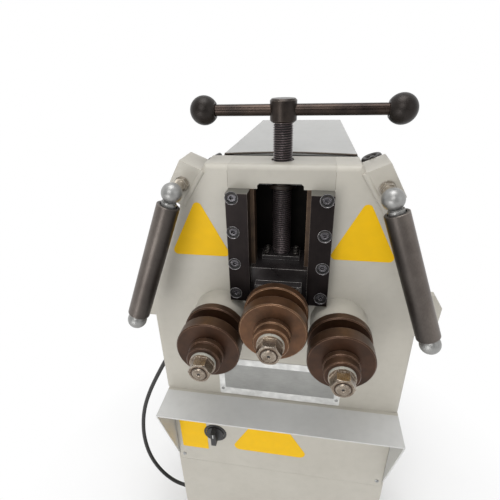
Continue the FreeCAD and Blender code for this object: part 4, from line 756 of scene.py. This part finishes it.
class RINGROLLER_OT_cable(PieceOperator, bpy.types.Operator):
    """Hangs the motor cable between its two glands"""

    bl_idname = "ringroller.cable"
    bl_label = "Motor cable"

    def execute(self, context):
        route = ((-242.1, 17), (-266, 17), (-290.4, 7.9), (-311.2, -10.8), (-344, -66), (-404.5, -184), (-440, -285),
                 (-457, -400), (-447, -510), (-404, -598), (-342, -640), (-266, -640))
        curve = bpy.data.curves.new("motor_cable_sheath", "CURVE")
        curve.dimensions = "3D"
        curve.bevel_depth = sizes().cable_diameter / 2
        curve.bevel_resolution = 5
        curve.resolution_u = 12
        curve.use_fill_caps = True
        spline = curve.splines.new("NURBS")
        spline.points.add(len(route) - 1)
        for point, (across, up) in zip(spline.points, route):
            point.co = (*spot(across, CABLE_BACK, up), 1.0)
        spline.order_u = 3
        spline.use_endpoint_u = True
        cable = bpy.data.objects.new("motor_cable_sheath", curve)
        context.scene.collection.objects.link(cable)
        curve.materials.append(MATERIALS["cable_rubber"])
        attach(cable, "frame")
        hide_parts("motor_cable")
        return {"FINISHED"}


class RINGROLLER_OT_glands(PieceOperator, bpy.types.Operator):
    """Adds the gland nuts and tapered strain reliefs of the motor cable"""

    bl_idname = "ringroller.glands"
    bl_label = "Cable glands"

    def execute(self, context):
        bm = bmesh.new()
        bore = 0.0062
        ribs = [(0.0117 - 0.00035 * i - (0.0006 if i % 2 else 0), 0.0090 + 0.0009 * i) for i in range(8)]
        for wall, up in ((242, 17), (COLUMN_HALF, -640)):
            seat = spot(-wall, CABLE_BACK, up)
            add_lathe(bm, [(bore, 0.0), (0.0132, 0.0), (0.0132, 0.0012), (bore, 0.0012)], seat, LEFT)
            add_lathe(bm, [(bore, 0.0014), (0.0135, 0.0014), (0.0135, 0.0078), (0.0118, 0.0086), (bore, 0.0086)],
                      seat, LEFT, 6)
            add_lathe(bm, [(bore, 0.0090), *ribs, (0.0080, 0.0160), (bore, 0.0160)], seat, LEFT, 36)
        put("gland_nuts", bm, "black_plastic", "frame", replaced=("cable_glands",))
        return {"FINISHED"}


def add_thread(bm, foot, axis, length, diameter, pitch, steps):
    """A right-hand thread as one surface whose radius rises and falls along a helix, with closed ends.

    Its crests have the mesh's first finish and its roots the second, and it runs out over a pitch at both ends.
    """
    # Seen from the thread's end, a right-hand helix climbs with the turn from first to second.
    first, second = across_axes(axis)
    depth = pitch * 0.61
    rows = int(length / pitch * 8)
    rings, ridges = [], []
    for row in range(rows + 1):
        along = length * row / rows
        run_out = min(1.0, min(along, length - along) / pitch)
        ring, heights = [], []
        for step in range(steps):
            phase = (along / pitch - step / steps) % 1.0
            ridge = max(0.0, min(1.0, 1.25 - abs(phase - 0.5) * 3.2))
            angle = 2 * math.pi * step / steps
            radius = diameter / 2 - depth + depth * ridge * run_out
            outward = first * math.cos(angle) + second * math.sin(angle)
            ring.append(bm.verts.new(foot + axis * along + outward * radius))
            heights.append(ridge)
        rings.append(ring)
        ridges.append(heights)
    for number, face in enumerate(add_skin(bm, rings)):
        row, step = divmod(number, steps)
        face.material_index = int(ridges[row][step] + ridges[row + 1][(step + 1) % steps] < 0.9)
    bm.faces.new(rings[0])
    bm.faces.new(list(reversed(rings[-1])))


class RINGROLLER_OT_pressure_screw(PieceOperator, bpy.types.Operator):
    """Turns the pressure screw: its foot, its thread and its plain top end"""

    bl_idname = "ringroller.pressure_screw"
    bl_label = "Pressure screw"

    def execute(self, context):
        size = sizes()
        bm = bmesh.new()
        add_thread(bm, spot(0, SCREW_BACK, 367), UP, 0.243, size.screw_diameter, size.screw_pitch,
                   size.thread_steps)
        add_lathe(bm, [(0, 0), (0.019, 0), (0.019, 0.0079), (0.014, 0.0079), (0.014, 0.0222), (0.0158, 0.0262),
                       (0, 0.0262)], spot(0, SCREW_BACK, 350), UP, 40)
        add_lathe(bm, [(0, 0), (0.0179, 0), (0.0179, 0.008), (0, 0.008)], spot(0, SCREW_BACK, 609.9), UP, 40)
        # The thread's roots take the near-black painted shade.
        put("threaded_pressure_screw", bm, "thread_crest", "press_screw",
            replaced=("pressure_screw",), smooth=0.9, second="near_black_shade")
        return {"FINISHED"}


class RINGROLLER_OT_ball_knobs(PieceOperator, bpy.types.Operator):
    """Turns the two ball knobs of the tommy bar"""

    bl_idname = "ringroller.ball_knobs"
    bl_label = "Ball knobs"

    def execute(self, context):
        bm = bmesh.new()
        radius, flat, bore, chamfer, steps = 0.0243, 0.0196, 0.0105, 0.0004, 24
        last = math.acos(-flat / radius)
        ball = [(radius * math.sin(last * k / steps), -radius * math.cos(last * k / steps)) for k in range(steps + 1)]
        ball += [(radius * math.sin(last) - chamfer, flat + chamfer), (bore, flat + chamfer)]
        for across, inward in ((-136, RIGHT), (188, LEFT)):
            add_lathe(bm, ball, spot(across, SCREW_BACK, 630), inward, 48)
        put("turned_ball_knobs", bm, "knob_steel", "cross_bar", replaced=("ball_knobs",))
        return {"FINISHED"}


class RINGROLLER_OT_rail_screws(PieceOperator, bpy.types.Operator):
    """Adds the cap screws of the rails in their deep counterbores"""

    bl_idname = "ringroller.rail_screws"
    bl_label = "Rail screws"

    def execute(self, context):
        heads, gaps, rims = bmesh.new(), bmesh.new(), bmesh.new()
        lowest, pitch = 308, 63.3333
        for across in (-80.3, 79):
            for i in range(4):
                up = lowest + pitch * i
                add_socket_screw(heads, spot(across, -17, up), FORWARD, 0.008, 0.0105, 0.008)
                seat = spot(across, -29, up)
                add_lathe(gaps, [(0.0081, 0), (0.0081, 0.0002), (0.0111, 0.0002), (0.0111, 0)], seat, FORWARD, 40)
                add_lathe(rims, [(0.0109, 0), (0.0109, 0.0003), (0.0117, 0.0011), (0.0119, 0)], seat, FORWARD, 40)
        put("cap_screws", heads, "cap_steel", "frame", replaced=("rail_screws",))
        # The dark rings in the counterbores are painted shadow.
        put("counterbore_shadows", gaps, "near_black_shade", "frame")
        put("counterbore_rims", rims, "cap_steel", "frame")
        return {"FINISHED"}


class RINGROLLER_OT_shaft_ends(PieceOperator, bpy.types.Operator):
    """Turns the ends of the shafts, with their centre holes and the rings between them and their nuts"""

    bl_idname = "ringroller.shaft_ends"
    bl_label = "Shaft ends"

    def execute(self, context):
        for name, across, up in ROLLS:
            face = spot(across, SHAFT_FACE, up)
            bm = bmesh.new()
            # The gap round the shaft and its centre hole are painted shade, near black.
            add_lathe(bm, [(0.0120, 0), (0.0120, 0.0003), (0.0124, 0.0003), (0.0124, 0)], face, FORWARD, 40)
            add_lathe(bm, [(0, 0.0014), (0.0029, 0.0014), (0.0029, 0.0018), (0, 0.0018)], face, FORWARD, 24)
            put(name + "_thread_gap", bm, "near_black_shade", name + "_roll")
            bm = bmesh.new()
            add_lathe(bm, [(0.0124, 0), (0.0125, 0.0003), (0.0149, 0.0003), (0.0150, 0)], face, FORWARD, 40)
            put(name + "_nut_ring", bm, "nut_face_steel", name + "_roll")
            bm = bmesh.new()
            add_lathe(bm, [(0.0026, 0.0002), (0.0060, 0.0016), (0.0078, 0.0016), (0.0084, 0.0006), (0.0092, 0.0006),
                           (0.0099, 0.0014), (0.0112, 0.0012), (0.0119, 0.0002)], face, FORWARD, 40)
            put(name + "_shaft_end", bm, "ball_steel", name + "_roll")
        return {"FINISHED"}


class RINGROLLER_OT_name_plate(PieceOperator, bpy.types.Operator):
    """Fixes the blank plate under the rolls"""

    bl_idname = "ringroller.name_plate"
    bl_label = "Blank plate"

    def execute(self, context):
        size = sizes()
        half, height = size.plate_width / 2, size.plate_height
        low = spot(1, 0, 2.3)

        def sheet(name, side, foot, top, back, thick, radius, material, slot):
            """A rounded sheet that stays inside the plate by three margins."""
            bm = bmesh.new()
            corners = [low + Vector((x, back, z)) for x, z in
                       ((-half + side, foot), (half - side, foot), (half - side, height - top),
                        (-half + side, height - top))]
            add_prism(bm, rounded(corners, radius), FORWARD * thick)
            put(name, bm, material, "frame", smooth=0.5, bevel=0.0002)

        sheet("plate_border", 0, 0, 0, 0, 0.0012, 0.003, "white_film", "hood_enamel")
        sheet("plate_field", 0.013, 0.020, 0.017, -0.0012, 0.0004, 0.0015, "plate_aluminium", "bright_steel")
        bm = bmesh.new()
        for x in (-half + 0.007, half - 0.007):
            for z in (0.016, height - 0.010):
                seat = low + Vector((x, -0.0012, z))
                add_lathe(bm, [(0.0040, 0), (0.0040, 0.0007), (0.0032, 0.0014), (0.0, 0.0018)], seat, FORWARD, 24)
        put("plate_rivets", bm, "rivet_steel", "frame")
        return {"FINISHED"}


class RINGROLLER_OT_stickers(PieceOperator, bpy.types.Operator):
    """Sticks on the blank yellow triangles and the blank yellow rectangle"""

    bl_idname = "ringroller.stickers"
    bl_label = "Blank stickers"

    def execute(self, context):
        size = sizes()
        for name, across, foot in (("left", -151.6, 370.3), ("right", 148.6, 376)):
            self.triangle("triangle_" + name, spot(across, 0, foot), size.triangle_width, size.triangle_height)
        panel_height = size.panel_triangle_width * math.sqrt(3) / 2
        self.triangle("triangle_panel", spot(-20, PANEL_FACE, -16) - UP * panel_height,
                      size.panel_triangle_width, panel_height)
        bm = bmesh.new()
        corners = [spot(x, PANEL_FACE, z) for x, z in ((-250, -205), (-180, -205), (-180, -105), (-250, -105))]
        add_prism(bm, rounded(corners, 0.003), FORWARD * STICKER)
        put("rectangle_panel", bm, "yellow_vinyl", "frame")
        return {"FINISHED"}

    @staticmethod
    def triangle(name, base, width, height):
        """A rounded triangle standing on its base."""
        bm = bmesh.new()
        corners = [base + Vector((-width / 2, 0, 0)), base + Vector((width / 2, 0, 0)), base + UP * height]
        add_prism(bm, rounded(corners, width * 0.07), FORWARD * STICKER)
        put(name, bm, "yellow_vinyl", "frame")


class RINGROLLER_OT_head_trim(PieceOperator, bpy.types.Operator):
    """Adds the bridge's joint lines, the studs' washers and the weld beads of the arm blocks"""

    bl_idname = "ringroller.head_trim"
    bl_label = "Head trim"

    def execute(self, context):
        bm = bmesh.new()
        for side in SIDES:
            at = side * 92
            add_box(bm, spot(at - 0.3, -0.1, 508), spot(at + 0.3, 0.3, 538))
        put("bridge_joints", bm, "joint_dark", "frame")
        bm = bmesh.new()
        for side in SIDES:
            add_lathe(bm, [(0.0085, 0), (0.0132, 0), (0.0132, 0.0024), (0.0126, 0.0030), (0.0085, 0.0030)],
                      spot(side * 175, 3, 512), FORWARD, 36)
        put("stud_washers", bm, "stud_steel", "frame")
        self.welds()
        return {"FINISHED"}

    @staticmethod
    def welds():
        """Weld beads in the grooves between the head's rounded sides and the arm blocks."""
        bm = bmesh.new()
        draw = random.Random(8)
        for side in SIDES:
            bends = [spot(side * across, 3.6, up) for across, up in ((136, 536), (175, 475.5), (177.5, 470))]
            points = []
            for start, finish in zip(bends, bends[1:]):
                count = max(2, int((finish - start).length / WELD_RIPPLE))
                points += [start.lerp(finish, k / count) for k in range(count)]
            points.append(bends[-1])
            radii = [0.0058 + 0.0003 * draw.random() + 0.0002 * (k % 2) for k in range(len(points))]
            add_tube(bm, points, radii, 12)
        put("arm_block_welds", bm, "body_enamel", "frame", smooth=1.2)


class RINGROLLER_OT_head_sides(PieceOperator, bpy.types.Operator):
    """Lays a few millimetres of filler and enamel over the head's rounded sides"""

    bl_idname = "ringroller.head_sides"
    bl_label = "Head sides"

    def execute(self, context):
        radius, depth, lip, edge_steps = 7, 67, -0.12, 8
        section = [(19, lip), (radius, lip)]
        section += [(radius - radius * math.sin(turn), radius - radius * math.cos(turn))
                    for turn in (math.pi / 2 / edge_steps * k for k in range(1, edge_steps + 1))]
        section.append((0, depth))
        for name, side, wide in (("left", -1, 270.6), ("right", 1, 267.2)):
            path = [Vector((wide, 0.3)), Vector((wide, 251)), Vector((wide - 88, 478.6)), Vector((wide - 92, 489))]
            bm = bmesh.new()
            rows = []
            for inset, back in section:
                row = []
                for k, point in enumerate(path):
                    before = (point - path[k - 1]).normalized() if k else (path[1] - point).normalized()
                    after = (path[k + 1] - point).normalized() if k < len(path) - 1 else before
                    square = Vector((-before.y, before.x))
                    inward = (square + Vector((-after.y, after.x))).normalized()
                    moved = point + inward * (inset / inward.dot(square))
                    row.append(bm.verts.new(spot(side * moved.x, back, moved.y)))
                rows.append(row)
            add_skin(bm, rows, closed=False)
            put("head_side_" + name, bm, "body_enamel", "frame")
        return {"FINISHED"}


class RINGROLLER_OT_carriage_trim(PieceOperator, bpy.types.Operator):
    """Adds the screws of the carriage's bearing cover and of its retaining plate"""

    bl_idname = "ringroller.carriage_trim"
    bl_label = "Carriage trim"

    def execute(self, context):
        bm = bmesh.new()
        for across in (-37, 37):
            for up in (258, 325):
                add_socket_screw(bm, spot(across, -32, up), FORWARD, 0.0045, 0.0020, 0.004, dome=0.0012)
        put("bearing_cover_screws", bm, "fastener_steel", "carriage")
        bm = bmesh.new()
        for across in (-28, 28):
            for back in (29, 42, 55):
                add_socket_screw(bm, spot(across, back, 366), UP, 0.0049, 0.0058, 0.005)
        put("retaining_screws", bm, "fastener_steel", "carriage", replaced=("plate_screws",))
        return {"FINISHED"}


class RINGROLLER_OT_guard_trim(PieceOperator, bpy.types.Operator):
    """Adds the rear guard's screws and a brown strip of painted shade along its gap to the head"""

    bl_idname = "ringroller.guard_trim"
    bl_label = "Guard trim"

    def execute(self, context):
        bm = bmesh.new()
        # The guard narrows towards its top, so the top row of screws is closer together.
        for across in (-150, 0, 150):
            for up in (60, 250, 440):
                seat = spot(across if up < 400 else across * 0.45, BACK_FACE, up)
                add_socket_screw(bm, seat, BACKWARD, 0.0055, 0.0030, 0.004, dome=0.0018)
        put("guard_screws", bm, "zinc_steel", "frame")
        # The strip along the guard's front edge is painted shade of the gap.
        bm = bmesh.new()
        steps, rise = 24, 3.4
        points = [spot(-115.5 + 247 * k / steps, 89.2, 546.4 + rise * math.sin(math.pi * k / steps))
                  for k in range(steps + 1)]
        add_tube(bm, points, [0.0018] * len(points), 8)
        put("guard_gap_shade", bm, "edging_rubber", "frame", smooth=1.2)
        return {"FINISHED"}


class RINGROLLER_OT_column_trim(PieceOperator, bpy.types.Operator):
    """Adds the column's panel screws, door screws, louvre hoods and weld beads"""

    bl_idname = "ringroller.column_trim"
    bl_label = "Column trim"

    def execute(self, context):
        bm = bmesh.new()
        for across in (-250, 250):
            for up in (-25, -238):
                add_socket_screw(bm, spot(across, PANEL_FACE, up), FORWARD, 0.0048, 0.0026, 0.0035, dome=0.0016)
        for across in (-205, 0, 205):
            for up in (-115, -645):
                add_socket_screw(bm, spot(across, DOOR_FACE, up), BACKWARD, 0.0055, 0.0030, 0.004, dome=0.0018)
        put("panel_screws", bm, "zinc_steel", "frame")
        self.louvres()
        self.welds()
        return {"FINISHED"}

    @staticmethod
    def louvres():
        """Pressed hoods over the slots of the rear panel, open at their lower edge."""
        bm = bmesh.new()
        steps, reach, height, pitch = 6, 6.5, 11, 24
        for side in SIDES:
            for i in range(6):
                low = -241.5 - pitch * i
                rows = []
                for x, swell in ((-60, 0.25), (-57, 0.85), (57, 0.85), (60, 0.25)):
                    row = []
                    for k in range(steps + 1):
                        turn = math.pi / 2 * k / steps
                        out = DOOR_FACE + reach * swell * math.cos(turn)
                        up = low + height * math.sin(turn) * (0.5 + 0.5 * swell)
                        row.append(bm.verts.new(spot(side * 74.4 + x, out, up)))
                    rows.append(row)
                add_skin(bm, rows, closed=False)
        hoods = put("louvre_hoods", bm, "body_enamel", "frame", smooth=0.8)
        thickness = hoods.modifiers.new("Sheet", "SOLIDIFY")
        thickness.thickness = 0.0012
        thickness.offset = -1

    @staticmethod
    def welds():
        """Weld beads along the foot of the column."""
        bm = bmesh.new()
        draw = random.Random(5)
        corners = [spot(side * COLUMN_HALF, back, -708)
                   for side, back in ((-1, PANEL_FACE), (1, PANEL_FACE), (1, BACK_FACE), (-1, BACK_FACE))]
        for start, finish in zip(corners, corners[1:] + corners[:1]):
            count = int((finish - start).length / WELD_RIPPLE)
            points = [start.lerp(finish, k / count) + UP * 0.0012 for k in range(count + 1)]
            radii = [0.0034 + 0.0005 * draw.random() + 0.0004 * (k % 2) for k in range(count + 1)]
            add_tube(bm, points, radii, 10)
        put("column_weld", bm, "body_enamel", "frame", smooth=1.2)


class RINGROLLER_OT_selector(PieceOperator, bpy.types.Operator):
    """Prints the selector's pointer and adds its ring"""

    bl_idname = "ringroller.selector"
    bl_label = "Selector"

    def execute(self, context):
        bm = bmesh.new()
        add_box(bm, spot(-158.9, -30.15, -130), spot(-157.1, -29.9, -118.5))
        put("selector_pointer", bm, "white_film", "selector")
        bm = bmesh.new()
        add_lathe(bm, [(0.0235, 0), (0.0290, 0), (0.0290, 0.0012), (0.0278, 0.0022), (0.0235, 0.0022)],
                  spot(-158, PANEL_FACE, -137), FORWARD, 48)
        put("selector_ring", bm, "black_plastic", "frame")
        return {"FINISHED"}


class RINGROLLER_PT_panel(bpy.types.Panel):
    """Lists the operators, the sizes and the colours"""

    bl_idname = "RINGROLLER_PT_panel"
    bl_label = "Ring roller"
    bl_space_type = "VIEW_3D"
    bl_region_type = "UI"
    bl_category = "Ring roller"

    def draw(self, context):
        for operator in OPERATORS:
            self.layout.operator(operator.bl_idname)
        for group in (context.scene.ring_roller_sizes, context.scene.ring_roller_colours):
            for name in group.bl_rna.properties.keys():
                if name not in ("rna_type", "name"):
                    self.layout.prop(group, name)


OPERATORS = (
    RINGROLLER_OT_stage, RINGROLLER_OT_finishes, RINGROLLER_OT_cable, RINGROLLER_OT_glands,
    RINGROLLER_OT_pressure_screw, RINGROLLER_OT_ball_knobs, RINGROLLER_OT_rail_screws, RINGROLLER_OT_shaft_ends,
    RINGROLLER_OT_name_plate, RINGROLLER_OT_stickers,
    RINGROLLER_OT_head_trim, RINGROLLER_OT_head_sides, RINGROLLER_OT_carriage_trim, RINGROLLER_OT_guard_trim,
    RINGROLLER_OT_column_trim, RINGROLLER_OT_selector,
)
CLASSES = (RingRollerSizes, RingRollerColours, *OPERATORS, RINGROLLER_PT_panel)


def register():
    """Registers the classes and their settings."""
    for cls in CLASSES:
        bpy.utils.register_class(cls)
    bpy.types.Scene.ring_roller_sizes = PointerProperty(type=RingRollerSizes)
    bpy.types.Scene.ring_roller_colours = PointerProperty(type=RingRollerColours)


def unregister():
    """Takes the settings and the classes away again."""
    del bpy.types.Scene.ring_roller_colours
    del bpy.types.Scene.ring_roller_sizes
    for cls in reversed(CLASSES):
        bpy.utils.unregister_class(cls)


def main():
    """Builds the scene."""
    register()
    for operator in OPERATORS:
        group, name = operator.bl_idname.split(".")
        getattr(getattr(bpy.ops, group), name)()


if __name__ == "__main__":
    main()
